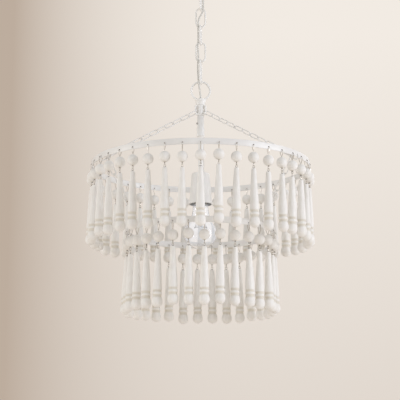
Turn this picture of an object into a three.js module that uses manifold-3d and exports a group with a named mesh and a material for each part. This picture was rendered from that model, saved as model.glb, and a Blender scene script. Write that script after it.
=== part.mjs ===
// Two-tier beaded chandelier. Turned wooden drops hang from two flat steel hoops, chains carry the
// hoops from a hub on a short stem, and a link chain carries the whole fixture from a ceiling canopy.
// Millimetres, +Z up. The origin is the middle of the ceiling plane and the fixture hangs below it.
// The side that faces -Y is the front. Angles round the fixture start there and grow towards +X.

import * as THREE from "three";
import { mergeVertices } from "three/addons/utils/BufferGeometryUtils.js";
import Module from "manifold-3d";

const wasm = await Module();
wasm.setup();

// Fits shared by all pieces
const seat = 0.3; // gap left between two pieces that bear on each other
const weld = 0.4; // how far the solids of one joined piece run into each other
const overrun = 3; // how far a cutting tool runs past the face it cuts
const samePoint = 0.0001; // corners closer than this count as one

// Ceiling crossbar
const crossbarWidth = 16;
const crossbarThickness = 2.5;
const crossbarSlotPitch = 88.9;
const crossbarSlotLength = 10;
const crossbarSlotWidth = 4.8;
const crossbarEndMargin = 2.55;
const crossbarLength = crossbarSlotPitch + crossbarSlotLength + 2 * crossbarEndMargin;

// Canopy, a spun dish with its mouth against the ceiling
const canopyDepth = 22;
const canopyWall = 1.2;
const canopyFloorDiameter = 84;
const canopyLip = 4;
const crossbarRoom = 7.5; // between an end of the crossbar and the canopy's lip
const canopyDiameter = crossbarLength + 2 * (crossbarRoom + canopyLip);

// Collar nut that clamps the canopy to the threaded body of its loop
const collarDiameter = 35;
const collarHeight = 7;

// Canopy loop: nipple, threaded body, neck and ring, bored for the cord
const nippleDiameter = 9.6;
const loopBodyDiameter = 26;
const loopBodyAboveFloor = 7;
const loopBodyBelowCollar = 2;
const loopNeckDiameter = 11;
const canopyRingDiameter = 26;
const canopyRingWire = 4;
const canopyRingDrop = 67.5; // from the ceiling to the ring's lowest point

// Suspension chain
const linkLength = 41.3;
const linkWidth = 21;
const linkWire = 3.2;
const plainLinks = 4;
const hookLinkLength = 51; // the longer last link that carries the fixture

// Power cord
const cordDiameter = 3.4;
const cordBore = 4.6;

// Fixture loop
const fixtureRingDiameter = 40;
const fixtureRingWire = 4;
const loopBaseTopDiameter = 20.5;
const loopBaseBottomDiameter = 15.5;
const loopBaseHeight = 12;
const loopBaseRim = 3;

// Centre stem: a pipe with a neck sleeve and a coupling on it
const pipeDiameter = 10;
const pipeBore = 6;
const pipeEntry = 4; // how far the pipe goes into the loop base
const neckDiameter = 13;
const neckHeight = 24;
const couplingDiameter = 15;
const couplingHeight = 16;
const barePipeLength = 72; // from the coupling to the socket cup

// Chain hub with three slotted eyes
const hubDiameter = 13.4;
const hubHeight = 21.4;
const eyeReach = 12.4; // radius of the eye's outer edge
const eyeBar = 2;
const eyeSlotWidth = 3.7;
const eyeThickness = 2.8;
const eyeEndMargin = 2.6;
const armStartDrop = 14; // from the top of the hub to where a chain pulls
const armStartInset = 1; // room for the slope of a chain's first link

// Socket cup, lampholder and bulb
const cupTopDiameter = 34;
const cupRimDiameter = 44;
const cupHeight = 59.5;
const cupWall = 1.2;
const holderDiameter = 30;
const holderRimInset = 6; // from the cup's rim up to the holder's rim
const holderWall = 1.4;
const holderRecess = 3; // depth of the hole that takes the pipe's end
const capDiameter = 26;
const capLength = 23;
const capContactDiameter = 12;
const capContactHeight = 3;
const bulbDiameter = 60;
const bulbNeckDiameter = 29;
const bulbLength = 109;
const bulbGlassWall = 1;

// Hoops
const bandHeight = 11.3;
const bandThickness = 2;
const bandRise = 1.6; // from the holes up to the middle of the band
const upperHoopRadius = 205.5;
const lowerHoopRadius = 138;
const hoopSpacing = 126.5;
const upperHoopDrop = 171; // from the top of the fixture ring to the holes of the upper hoop
const strandHole = 3;
const chainHole = 4.2;

// Cable chains: three arms to the upper hoop and three droppers to the lower hoop
const armAngles = [-61.5, 58.5, 178.5];
const cableLinkPitch = 18.4;
const cableLinkWidth = 10.4;
const cableWire = 2;
const armTwist = 45; // turn of an arm's first link about the chain, from the upright
const dropperTwist = 90;
const armEndTilt = 30; // slope of an arm's last link
const dropperInset = 9.5; // from the upper band in to where a dropper hangs

// Strands: wire hook, bead, wire and turned spindle, the same on both hoops
const upperStrands = 40;
const lowerStrands = 30;
const upperFirstAngle = 0;
const lowerFirstAngle = 2.8;
const hookWire = 1.3;
const hookTopWidth = 4;
const hookWidth = 8;
const hookShoulderDrop = 4;
const beadDiameter = 20;
const beadTopDrop = 14.8; // from the hole to the top of the bead
const spindleGap = 8.8; // from the bead to the spindle
const spindleLength = 106;
const spindleTopDiameter = 8.6;
const shaftDiameter = 16.4;
const shaftLength = 74.8;
const grooveDiameter = 14.4;
const grooveWidth = 4.1;
const collarRingWidth = 4.2;
const collarRingDiameter = 17;
const ballDiameter = 19.4;
const tieWire = 1.3; // joins the hooks of two strands behind the band
const tieInset = 4;
const tieDrop = 1.5;

// Counts of flats and steps
const woodSides = 5;
const fineWireSides = 3;
const chainWireSides = 4;
const turnedSides = 14;
const canopySides = 20;
const boreSides = 10;
const linkSteps = 12;
const cableLinkSteps = 8;
const ringSteps = 16;

// Levels that follow from the sizes above
const floorFace = -canopyDepth;
const collarTop = floorFace - seat;
const collarBottom = collarTop - collarHeight;
const loopBodyTop = floorFace + canopyWall + loopBodyAboveFloor;
const loopBodyBottom = collarBottom - loopBodyBelowCollar;
const canopyRingCentre = -canopyRingDrop + canopyRingDiameter / 2;
const linkPitch = linkLength - 2 * linkWire - seat;
const firstLinkTop = -canopyRingDrop + canopyRingWire + linkWire + seat;
const hookLinkTop = firstLinkTop - plainLinks * linkPitch;
const fixtureRingTop = hookLinkTop - hookLinkLength + linkWire + seat + fixtureRingWire;
const fixtureRingBottom = fixtureRingTop - fixtureRingDiameter;
const loopBaseTop = fixtureRingBottom + fixtureRingWire;
const loopBaseBottom = loopBaseTop - loopBaseHeight;
const hubTop = loopBaseBottom - seat;
const neckTop = hubTop - hubHeight - seat;
const neckBottom = neckTop - neckHeight;
const couplingBottom = neckBottom - couplingHeight;
const cupTop = couplingBottom - barePipeLength;
const holderTop = cupTop - cupWall - seat;
const holderBottom = cupTop - cupHeight + holderRimInset;
const upperHoopLevel = fixtureRingTop - upperHoopDrop;
const lowerHoopLevel = upperHoopLevel - hoopSpacing;
const bulbBottom = cupTop - cupHeight - bulbLength + capLength;
const capTop = bulbBottom + bulbLength;

const finishes = {
  paintedSteel: new THREE.MeshStandardMaterial({ color: 0xece9e2, roughness: 0.5, metalness: 0.1 }),
  paintedWood: new THREE.MeshStandardMaterial({ color: 0xefebe3, roughness: 0.65, metalness: 0 }),
  plating: new THREE.MeshStandardMaterial({ color: 0xb9b7b1, roughness: 0.3, metalness: 0.9 }),
  phenolic: new THREE.MeshStandardMaterial({ color: 0x2a2724, roughness: 0.4, metalness: 0 }),
  glass: new THREE.MeshStandardMaterial({ color: 0xe8eef2, roughness: 0.05, metalness: 0 }),
  cordSkin: new THREE.MeshStandardMaterial({ color: 0x8f8c86, roughness: 0.35, metalness: 0.2 }),
};

// Turns a closed geometry into a solid that can be joined and cut.
function toSolid(geometry) {
  const bare = geometry.index ? geometry.toNonIndexed() : geometry.clone();
  bare.deleteAttribute("normal");
  bare.deleteAttribute("uv");
  const merged = mergeVertices(bare, samePoint);
  return new wasm.Manifold(
    new wasm.Mesh({
      numProp: 3,
      vertProperties: merged.attributes.position.array,
      triVerts: new Uint32Array(merged.index.array),
    }),
  );
}

// Turns a solid back into a geometry with flat faces.
function toGeometry(solid) {
  const mesh = solid.getMesh();
  const geometry = new THREE.BufferGeometry();
  geometry.setAttribute("position", new THREE.BufferAttribute(mesh.vertProperties, 3));
  geometry.setIndex(new THREE.BufferAttribute(mesh.triVerts, 1));
  const flat = geometry.toNonIndexed();
  flat.computeVertexNormals();
  return flat;
}

// Joins geometries into one.
function join(...geometries) {
  return toGeometry(geometries.map(toSolid).reduce((all, one) => all.add(one)));
}

// Cuts the later geometries out of the first.
function cut(body, ...tools) {
  return toGeometry(tools.map(toSolid).reduce((left, tool) => left.subtract(tool), toSolid(body)));
}

// Turns an outline of [radius, height] points, listed from the bottom up, about the Z axis.
function turned(outline, sides = turnedSides) {
  const points = outline.map(([radius, height]) => new THREE.Vector2(radius, height));
  return new THREE.LatheGeometry(points, sides).rotateX(Math.PI / 2);
}

// Radius of a faceted bore whose flats clear a round bar, however the two are turned.
function boreRadius(diameter, sides) {
  return (diameter / 2 + seat) / Math.cos(Math.PI / sides);
}

// A round bar along Z between two heights.
function bar(diameter, bottom, top, sides = turnedSides) {
  const height = top - bottom;
  const cylinder = new THREE.CylinderGeometry(diameter / 2, diameter / 2, height, sides);
  return cylinder.rotateX(Math.PI / 2).translate(0, 0, bottom + height / 2);
}

// A wire through the corners of a flat outline in the XZ plane, closed into a loop or open with
// flat ends. The section is a regular polygon with one corner pointing to the left of the way
// along the outline, and each bend is mitred.
function bentWire(corners, wire, sides, closed) {
  const count = corners.length;
  const positions = [];
  const indices = [];
  corners.forEach((corner, i) => {
    const before = corners[(i + count - 1) % count];
    const after = corners[(i + 1) % count];
    const into = new THREE.Vector2().subVectors(corner, before).normalize();
    const onward = new THREE.Vector2().subVectors(after, corner).normalize();
    if (!closed && i === 0) into.copy(onward);
    if (!closed && i === count - 1) onward.copy(into);
    const middle = new THREE.Vector2().addVectors(into, onward).normalize();
    const mitre = 1 / middle.dot(into);
    for (let k = 0; k < sides; k += 1) {
      const turn = (2 * Math.PI * k) / sides;
      const left = (Math.cos(turn) * wire * mitre) / 2;
      const across = (Math.sin(turn) * wire) / 2;
      positions.push(corner.x - middle.y * left, across, corner.y + middle.x * left);
    }
  });
  const runs = closed ? count : count - 1;
  for (let i = 0; i < runs; i += 1) {
    for (let k = 0; k < sides; k += 1) {
      const here = i * sides;
      const next = ((i + 1) % count) * sides;
      const turnOn = (k + 1) % sides;
      indices.push(here + k, next + k, here + turnOn);
      indices.push(here + turnOn, next + k, next + turnOn);
    }
  }
  const end = (count - 1) * sides;
  for (let k = 1; !closed && k < sides - 1; k += 1) {
    indices.push(0, k, k + 1);
    indices.push(end, end + k + 1, end + k);
  }
  const geometry = new THREE.BufferGeometry();
  geometry.setAttribute("position", new THREE.Float32BufferAttribute(positions, 3));
  geometry.setIndex(indices);
  return geometry;
}

// A chain link or ring in the XZ plane, its length along Z, sized over the wire. Every end and
// side is a flat with a corner of the wire's section on its inner side, so two crossed links bear
// on each other at their true length.
function link(length, width, wire, sides, steps) {
  const radius = (width - wire) / 2 / Math.cos(Math.PI / steps);
  const stretch = (length - width) / 2;
  const corners = [];
  for (let i = 0; i < steps; i += 1) {
    const turn = (2 * Math.PI * (i + 0.5)) / steps;
    const along = Math.cos(turn) * radius;
    corners.push(new THREE.Vector2(-Math.sin(turn) * radius, along + Math.sign(along) * stretch));
  }
  return bentWire(corners, wire, sides, true);
}

// A cable chain's link, given by the clear length inside it.
function cableLink(clear) {
  return link(clear + 2 * cableWire, cableLinkWidth, cableWire, fineWireSides, cableLinkSteps);
}

// Lays a number of links of one joined cable chain along a curve in the XZ plane, each turned a
// quarter from the one before it.
function cableChain(curve, count, firstTurn) {
  const one = cableLink(curve.getLength() / count - weld);
  const pieces = [];
  for (let i = 0; i < count; i += 1) {
    const share = (i + 0.5) / count;
    const back = curve.getTangentAt(share).negate();
    const lean = new THREE.Quaternion().setFromUnitVectors(new THREE.Vector3(0, 0, 1), back);
    const turn = THREE.MathUtils.degToRad(firstTurn + 90 * (i % 2));
    const placed = one.clone().rotateZ(turn).applyQuaternion(lean);
    pieces.push(placed.translate(...curve.getPointAt(share)));
  }
  return pieces;
}

const chandelier = new THREE.Group();

// Adds a named piece to a group, turned to an angle round the fixture.
function add(parent, name, geometry, finish, angle = 0) {
  const mesh = new THREE.Mesh(geometry, finish);
  mesh.name = name;
  mesh.rotation.z = THREE.MathUtils.degToRad(angle);
  parent.add(mesh);
}

function makeCrossbar() {
  const plate = new THREE.BoxGeometry(crossbarLength, crossbarWidth, crossbarThickness);
  plate.translate(0, 0, -crossbarThickness / 2);
  const holeDepth = crossbarThickness + overrun;
  const tools = [bar(nippleDiameter + 2 * seat, -holeDepth, overrun, boreSides)];
  for (const side of [-1, 1]) {
    const slot = new THREE.BoxGeometry(crossbarSlotLength, crossbarSlotWidth, 2 * holeDepth);
    tools.push(slot.translate((side * crossbarSlotPitch) / 2, 0, 0));
  }
  return cut(plate, ...tools);
}

function makeCanopy() {
  const rim = canopyDiameter / 2;
  const floor = canopyFloorDiameter / 2;
  const hole = boreRadius(loopBodyDiameter, canopySides);
  const top = -seat;
  return turned(
    [
      [hole, floorFace],
      [floor, floorFace],
      [rim, floorFace + canopyDepth / 2],
      [rim, top],
      [rim - canopyLip, top],
      [rim - canopyLip, top - canopyWall],
      [rim - canopyWall, top - canopyWall],
      [rim - canopyWall, floorFace + canopyDepth / 2 + canopyWall / 2],
      [floor - canopyWall / 2, floorFace + canopyWall],
      [hole, floorFace + canopyWall],
      [hole, floorFace],
    ],
    canopySides,
  );
}

function makeCollarNut() {
  const bore = boreRadius(loopBodyDiameter, turnedSides);
  const outside = collarDiameter / 2;
  const bevel = collarHeight / 4;
  return turned([
    [bore, collarBottom],
    [outside - bevel, collarBottom],
    [outside, collarBottom + bevel],
    [outside, collarTop],
    [bore, collarTop],
    [bore, collarBottom],
  ]);
}

function makeCanopyLoop() {
  const neckBottomLevel = canopyRingCentre + canopyRingDiameter / 2 - canopyRingWire;
  const body = turned([
    [0, neckBottomLevel],
    [loopNeckDiameter / 2, neckBottomLevel],
    [loopNeckDiameter / 2, neckBottomLevel + canopyRingWire],
    [loopBodyDiameter / 2, loopBodyBottom],
    [loopBodyDiameter / 2, loopBodyTop],
    [nippleDiameter / 2, loopBodyTop],
    [nippleDiameter / 2, 0],
    [0, 0],
  ]);
  const ring = link(canopyRingDiameter, canopyRingDiameter, canopyRingWire, chainWireSides, linkSteps);
  const bore = bar(cordBore, neckBottomLevel - overrun, overrun, boreSides);
  return cut(join(body, ring.translate(0, 0, canopyRingCentre)), bore);
}

function makeFixtureLoop() {
  const base = turned([
    [0, loopBaseBottom],
    [loopBaseBottomDiameter / 2, loopBaseBottom],
    [loopBaseTopDiameter / 2, loopBaseTop - loopBaseRim],
    [loopBaseTopDiameter / 2, loopBaseTop - loopBaseRim / 2],
    [loopBaseBottomDiameter / 2, loopBaseTop],
    [0, loopBaseTop],
  ]);
  const ring = link(fixtureRingDiameter, fixtureRingDiameter, fixtureRingWire, chainWireSides, ringSteps);
  ring.translate(0, 0, fixtureRingTop - fixtureRingDiameter / 2);
  const cordHole = bar(cordBore, loopBaseBottom - overrun, loopBaseTop + overrun, boreSides);
  const pipeSocket = bar(
    pipeDiameter + 2 * seat,
    loopBaseBottom - overrun,
    loopBaseBottom + pipeEntry + seat,
    turnedSides,
  );
  return cut(join(base, ring), cordHole, pipeSocket);
}

function makeHub() {
  const bottom = hubTop - hubHeight;
  const bore = pipeDiameter / 2 + seat;
  const sleeve = turned([
    [bore, bottom],
    [hubDiameter / 2, bottom],
    [hubDiameter / 2, hubTop],
    [bore, hubTop],
    [bore, bottom],
  ]);
  const root = (bore + hubDiameter / 2) / 2;
  const slotOuter = eyeReach - eyeBar;
  const pieces = [sleeve];
  for (const angle of armAngles) {
    const plate = new THREE.BoxGeometry(eyeThickness, eyeReach - root, hubHeight - eyeEndMargin);
    plate.translate(0, -(eyeReach + root) / 2, hubTop - hubHeight / 2);
    const slot = new THREE.BoxGeometry(
      eyeThickness + overrun,
      eyeSlotWidth,
      hubHeight - 2 * eyeEndMargin - eyeBar,
    );
    slot.translate(0, eyeSlotWidth / 2 - slotOuter, hubTop - hubHeight / 2);
    pieces.push(cut(plate, slot).rotateZ(THREE.MathUtils.degToRad(angle)));
  }
  return join(...pieces);
}

function makeStem() {
  const bottom = holderTop - holderRecess + seat;
  const pipeTop = loopBaseBottom + pipeEntry;
  const pipe = pipeDiameter / 2;
  return turned([
    [pipeBore / 2, bottom],
    [pipe, bottom],
    [pipe, couplingBottom],
    [couplingDiameter / 2, couplingBottom],
    [couplingDiameter / 2, neckBottom],
    [neckDiameter / 2, neckBottom],
    [neckDiameter / 2, neckTop],
    [pipe, neckTop],
    [pipe, pipeTop],
    [pipeBore / 2, pipeTop],
    [pipeBore / 2, bottom],
  ]);
}

function makeSocketCup() {
  const rimLevel = cupTop - cupHeight;
  const hole = pipeDiameter / 2 + seat;
  const top = cupTopDiameter / 2;
  const rim = cupRimDiameter / 2;
  const shoulder = cupWall;
  return turned([
    [rim - cupWall, rimLevel],
    [rim, rimLevel],
    [top, cupTop - shoulder],
    [top - shoulder, cupTop],
    [hole, cupTop],
    [hole, cupTop - cupWall],
    [top - shoulder, cupTop - cupWall],
    [top - cupWall, cupTop - shoulder - cupWall],
    [rim - cupWall, rimLevel],
  ]);
}

function makeLampholder() {
  const outside = holderDiameter / 2;
  const bore = outside - holderWall;
  const roof = capTop + seat;
  const recess = pipeDiameter / 2 + seat;
  return turned([
    [bore, holderBottom],
    [outside, holderBottom],
    [outside, holderTop],
    [recess, holderTop],
    [recess, holderTop - holderRecess],
    [0, holderTop - holderRecess],
    [0, roof],
    [bore, roof],
    [bore, holderBottom],
  ]);
}

function makeBulbCap() {
  const side = capDiameter / 2;
  const skirt = capTop - capLength + seat;
  return turned([
    [0, skirt],
    [side, skirt],
    [side, capTop - 2 * capContactHeight],
    [capContactDiameter / 2, capTop - capContactHeight / 2],
    [capContactDiameter / 2, capTop],
    [0, capTop],
  ]);
}

// The glass is a thin shell, open at the neck where the cap closes it.
function makeBulbGlass() {
  const neckLevel = capTop - capLength;
  const globe = bulbDiameter / 2;
  const globeCentre = bulbBottom + globe;
  const neck = bulbNeckDiameter / 2;
  const latitudes = [-60, -30, 0, 30];
  const skin = (inset) => [
    [0, bulbBottom + inset],
    ...latitudes.map((latitude) => {
      const turn = THREE.MathUtils.degToRad(latitude);
      return [(globe - inset) * Math.cos(turn), globeCentre + (globe - inset) * Math.sin(turn)];
    }),
    [neck - inset, neckLevel - capLength / 2],
    [neck - inset, neckLevel],
  ];
  return turned([...skin(0), ...skin(bulbGlassWall).reverse()]);
}

// A hoop is a flat band of straight facets, one for each strand, with the strand's hole in its
// middle. The chain holes lie at the arm angles.
function makeHoop(radius, strands, firstAngle) {
  const half = Math.PI / strands;
  const polygon = (apothem) => {
    const points = [];
    for (let i = 0; i < strands; i += 1) {
      const turn = THREE.MathUtils.degToRad(firstAngle) + half * (2 * i + 1) - Math.PI / 2;
      const corner = apothem / Math.cos(half);
      points.push(new THREE.Vector2(Math.cos(turn) * corner, Math.sin(turn) * corner));
    }
    return points;
  };
  const outline = new THREE.Shape(polygon(radius + bandThickness / 2));
  outline.holes.push(new THREE.Path(polygon(radius - bandThickness / 2)));
  const band = new THREE.ExtrudeGeometry(outline, { depth: bandHeight, bevelEnabled: false });
  band.translate(0, 0, bandRise - bandHeight / 2);
  const punch = (width, angle) => {
    const tool = new THREE.BoxGeometry(width, 2 * overrun, width);
    return tool.translate(0, -radius, 0).rotateZ(THREE.MathUtils.degToRad(angle));
  };
  const tools = armAngles.map((angle) => punch(chainHole, angle));
  for (let i = 0; i < strands; i += 1) {
    tools.push(punch(strandHole, firstAngle + (360 * i) / strands));
  }
  return cut(band, ...tools);
}

// How far out the band's middle lies at an angle, more towards the corners between two facets.
function bandRadius(radius, strands, firstAngle, angle) {
  const step = 360 / strands;
  const fromStrand = (((angle - firstAngle) % step) + step) % step;
  const fromMiddle = Math.min(fromStrand, step - fromStrand);
  return radius / Math.cos(THREE.MathUtils.degToRad(fromMiddle));
}

const legOffset = (cableLinkWidth - cableWire) / 2;
const endTilt = THREE.MathUtils.degToRad(armEndTilt);
const hoopAxisLevel = upperHoopLevel - legOffset * Math.cos(endTilt);

// Each arm runs from a hub eye to the upper hoop. Its last link stands upright and goes through
// the chain hole and round the lower edge of the band.
function makeArmChain(angle) {
  const bandMiddle = bandRadius(upperHoopRadius, upperStrands, upperFirstAngle, angle);
  const axisRadius = bandMiddle - legOffset * Math.sin(endTilt);
  const outPast = bandThickness / 2 + legOffset * Math.sin(endTilt);
  const downPast = bandHeight / 2 - bandRise - legOffset * Math.cos(endTilt);
  const reach = outPast * Math.cos(endTilt) + downPast * Math.sin(endTilt) + cableWire / 2;
  const pull = new THREE.Vector3(Math.cos(endTilt), 0, -Math.sin(endTilt));
  const start = new THREE.Vector3(eyeReach - eyeBar - seat - armStartInset, 0, hubTop - armStartDrop);
  const end = new THREE.Vector3(axisRadius, 0, hoopAxisLevel).addScaledVector(pull, reach);
  const lastStart = end.clone().addScaledVector(pull, -cableLinkPitch);
  const control = lastStart.clone().addScaledVector(pull, -start.distanceTo(lastStart) / 2);
  const curve = new THREE.QuadraticBezierCurve3(start, control, lastStart);
  const links = cableChain(curve, Math.round(curve.getLength() / cableLinkPitch), armTwist);
  const last = cableLink(cableLinkPitch - weld).rotateY(Math.PI / 2 + endTilt);
  links.push(last.translate(...lastStart.lerp(end, 0.5)));
  return join(...links).rotateZ(-Math.PI / 2);
}

// Each dropper hangs in the last link of an arm. Its own last link stands upright, goes through
// the chain hole of the lower hoop and closes over the band's top edge.
function makeDropper(angle) {
  const lowerRadius = bandRadius(lowerHoopRadius, lowerStrands, lowerFirstAngle, angle);
  const hangRadius = upperHoopRadius - dropperInset;
  const rise = dropperInset * Math.tan(endTilt);
  const legTop = hoopAxisLevel + rise - (legOffset - cableWire / 2) / Math.cos(endTilt);
  const lastFloor = lowerHoopLevel + chainHole / 2 - seat;
  const start = new THREE.Vector3(hangRadius, 0, legTop + seat);
  const end = new THREE.Vector3(lowerRadius, 0, lastFloor + cableLinkPitch);
  const curve = new THREE.LineCurve3(start, end);
  const halfCount = Math.round((curve.getLength() / cableLinkPitch - 1) / 2);
  const links = cableChain(curve, 2 * halfCount + 1, dropperTwist);
  const last = cableLink(cableLinkPitch - weld);
  links.push(last.translate(lowerRadius, 0, lastFloor + (cableLinkPitch - weld) / 2));
  return join(...links).rotateZ(-Math.PI / 2);
}

// One strand with its hole at the origin, hanging down the Z axis: a wire hook in the YZ plane
// that rises in front of the band and goes through its hole, the bead, the wire below it and the
// turned spindle that ends in a ball.
function makeStrand() {
  const beadRadius = beadDiameter / 2;
  const beadCentre = -beadTopDrop - beadRadius;
  const beadBottom = -beadTopDrop - beadDiameter;
  const spindleTop = beadBottom - spindleGap;
  const shaftEnd = spindleTop - shaftLength;
  const ringMiddle = shaftEnd - grooveWidth - collarRingWidth / 2;
  const ballBottom = spindleTop - spindleLength;
  const ballRadius = ballDiameter / 2;
  const ballCentre = ballBottom + ballRadius;
  const wireRadius = hookWire / 2;
  const cutShare = 0.45; // height of a ball's two edge circles, as a share of its radius
  const edgeShare = Math.sqrt(1 - cutShare * cutShare);
  const body = turned(
    [
      [0, ballBottom],
      [ballRadius * edgeShare, ballCentre - ballRadius * cutShare],
      [ballRadius * edgeShare, ballCentre + ballRadius * cutShare],
      [grooveDiameter / 2, ringMiddle - collarRingWidth / 2 - grooveWidth / 2],
      [collarRingDiameter / 2, ringMiddle],
      [grooveDiameter / 2, shaftEnd - grooveWidth / 2],
      [shaftDiameter / 2, shaftEnd],
      [spindleTopDiameter / 2, spindleTop],
      [wireRadius, spindleTop],
      [wireRadius, beadBottom],
      [beadRadius * edgeShare, beadCentre - beadRadius * cutShare],
      [beadRadius * edgeShare, beadCentre + beadRadius * cutShare],
      [0, -beadTopDrop],
    ],
    woodSides,
  );
  const corners = [
    new THREE.Vector2(0, -beadTopDrop - weld),
    new THREE.Vector2(-hookWidth / 2, -hookShoulderDrop),
    new THREE.Vector2(-hookTopWidth / 2, 0),
    new THREE.Vector2(hookTopWidth / 2, 0),
    new THREE.Vector2(tieInset, -tieDrop),
  ];
  const hook = bentWire(corners, hookWire, fineWireSides, false).rotateZ(Math.PI / 2);
  return join(body, hook);
}

// Two neighbouring strands swing together: a thin wire behind the band joins their hooks. The pair
// is built about the line through its two holes, and that line is its hinge.
function makeStrandPair(radius, strands) {
  const half = Math.PI / strands;
  const across = radius * Math.sin(half);
  const out = radius * Math.cos(half);
  const strand = makeStrand();
  const tie = new THREE.BoxGeometry(2 * across, tieWire, tieWire);
  tie.translate(0, -out + tieInset, -tieDrop);
  return join(
    strand.clone().translate(-across, -out, 0),
    strand.clone().translate(across, -out, 0),
    tie,
  );
}

// The cord leaves the canopy loop, winds down the front of the chain from one side of it to the
// other and enters the fixture loop from inside its ring.
const cordRoute = [
  [0, 0, -36.5],
  [0, 0, -47],
  [1.5, -1.6, -52],
  [3.6, -4.6, -58],
  [4.6, -5.4, -66],
  [4.8, -4.6, -76],
  [4.8, -4.2, -88],
  [4.5, -4.2, -100],
  [2.6, -4.4, -107],
  [-1.2, -4.6, -114],
  [-3.9, -4.6, -121],
  [-4.6, -4.4, -130],
  [-4.7, -4.2, -142],
  [-4.6, -4.2, -154],
  [-4.8, -4.5, -164],
  [-5.9, -5.0, -174],
  [-4.6, -4.9, -186],
  [-4.4, -4.6, -196],
  [-5.2, -4.6, -208],
  [-5.4, -4.6, -220],
  [-4.9, -4.9, -232],
  [-4.2, -5.4, -243],
  [-2.7, -4.6, -254],
  [-1.2, -2.2, -264],
  [-0.2, -0.4, -272],
  [0, 0, -280],
  [0, 0, -285],
];

function makeCord() {
  const route = new THREE.CatmullRomCurve3(cordRoute.map((point) => new THREE.Vector3(...point)));
  const stepShare = 2.6; // length of one step, as a share of the diameter
  const steps = Math.round(route.getLength() / (stepShare * cordDiameter));
  const section = new THREE.Shape();
  section.absarc(0, 0, cordDiameter / 2, 0, 2 * Math.PI);
  return new THREE.ExtrudeGeometry(section, { steps, extrudePath: route, curveSegments: 4 });
}

add(chandelier, "ceiling_crossbar", makeCrossbar(), finishes.plating);
add(chandelier, "ceiling_canopy", makeCanopy(), finishes.paintedSteel);
add(chandelier, "collar_nut", makeCollarNut(), finishes.paintedSteel);
add(chandelier, "canopy_loop", makeCanopyLoop(), finishes.paintedSteel);

// The first link stands edge-on behind the canopy ring, and each next one is turned a quarter.
for (let i = 0; i <= plainLinks; i += 1) {
  const length = i === plainLinks ? hookLinkLength : linkLength;
  const geometry = link(length, linkWidth, linkWire, chainWireSides, linkSteps);
  geometry.translate(0, 0, firstLinkTop - i * linkPitch - length / 2);
  add(chandelier, `chain_link_${i + 1}`, geometry, finishes.paintedSteel, i % 2 === 0 ? 90 : 0);
}

add(chandelier, "power_cord", makeCord(), finishes.cordSkin);
add(chandelier, "fixture_loop", makeFixtureLoop(), finishes.paintedSteel);
add(chandelier, "chain_hub", makeHub(), finishes.paintedSteel);
add(chandelier, "centre_stem", makeStem(), finishes.paintedSteel);
add(chandelier, "socket_cup", makeSocketCup(), finishes.paintedSteel);
add(chandelier, "lampholder", makeLampholder(), finishes.phenolic);
add(chandelier, "bulb_cap", makeBulbCap(), finishes.plating);
add(chandelier, "bulb_glass", makeBulbGlass(), finishes.glass);

const upperTier = new THREE.Group();
upperTier.position.z = upperHoopLevel;
const lowerTier = new THREE.Group();
lowerTier.position.z = lowerHoopLevel;
chandelier.add(upperTier, lowerTier);

const tiers = [
  { tier: upperTier, name: "upper", radius: upperHoopRadius, strands: upperStrands, first: upperFirstAngle },
  { tier: lowerTier, name: "lower", radius: lowerHoopRadius, strands: lowerStrands, first: lowerFirstAngle },
];
for (const { tier, name, radius, strands, first } of tiers) {
  add(tier, `${name}_hoop`, makeHoop(radius, strands, first), finishes.paintedSteel);
  const pair = makeStrandPair(radius, strands);
  for (let i = 0; i < strands / 2; i += 1) {
    const number = String(i + 1).padStart(2, "0");
    const angle = first + (360 * (2 * i + 0.5)) / strands;
    add(tier, `${name}_strands_${number}`, pair, finishes.paintedWood, angle);
  }
}

armAngles.forEach((angle, i) => {
  add(chandelier, `arm_chain_${i + 1}`, makeArmChain(angle), finishes.paintedSteel, angle);
  add(chandelier, `dropper_chain_${i + 1}`, makeDropper(angle), finishes.paintedSteel, angle);
});

export default chandelier;
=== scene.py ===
"""Two-tier beaded chandelier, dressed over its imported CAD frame.

Turned wooden drops hang from two flat steel hoops, small chains carry the hoops from a hub on a
short stem, and a link chain carries the fixture from a ceiling canopy. Sizes in this file are
millimetres and become metres on the bench. +Z is up, the origin is the middle of the ceiling
plane and the side that faces -Y is the front. Angles round the fixture start there and grow
towards +X.
"""

import logging
import math
import random
from collections.abc import Callable, Sequence
from dataclasses import dataclass, field
from enum import Enum

import bpy
from mathutils import Matrix, Vector


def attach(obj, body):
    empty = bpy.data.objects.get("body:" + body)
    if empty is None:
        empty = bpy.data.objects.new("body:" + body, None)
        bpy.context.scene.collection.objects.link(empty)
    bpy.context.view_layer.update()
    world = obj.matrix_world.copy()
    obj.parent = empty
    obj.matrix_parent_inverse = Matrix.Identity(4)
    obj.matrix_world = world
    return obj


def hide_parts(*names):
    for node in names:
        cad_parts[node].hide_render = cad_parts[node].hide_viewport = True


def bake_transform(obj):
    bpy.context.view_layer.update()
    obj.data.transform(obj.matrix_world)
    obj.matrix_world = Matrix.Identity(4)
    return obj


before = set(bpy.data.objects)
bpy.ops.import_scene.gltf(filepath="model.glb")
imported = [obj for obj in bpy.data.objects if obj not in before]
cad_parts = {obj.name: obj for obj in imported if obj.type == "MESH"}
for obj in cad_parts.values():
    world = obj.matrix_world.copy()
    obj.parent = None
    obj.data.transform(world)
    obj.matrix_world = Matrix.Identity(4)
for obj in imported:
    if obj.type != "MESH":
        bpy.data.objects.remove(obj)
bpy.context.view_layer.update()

LOG = logging.getLogger("chandelier")
MM = 0.001
SEAT = 0.3  # gap between two pieces that bear on each other
WELD_DISTANCE = 0.000002  # in metres: corners closer than this are one
SMOOTH_ANGLE = math.radians(38)
GLASS_SMOOTH_ANGLE = math.radians(60)
ARM_ANGLES = (-61.5, 58.5, 178.5)  # of the three arm chains round the stem

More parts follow.
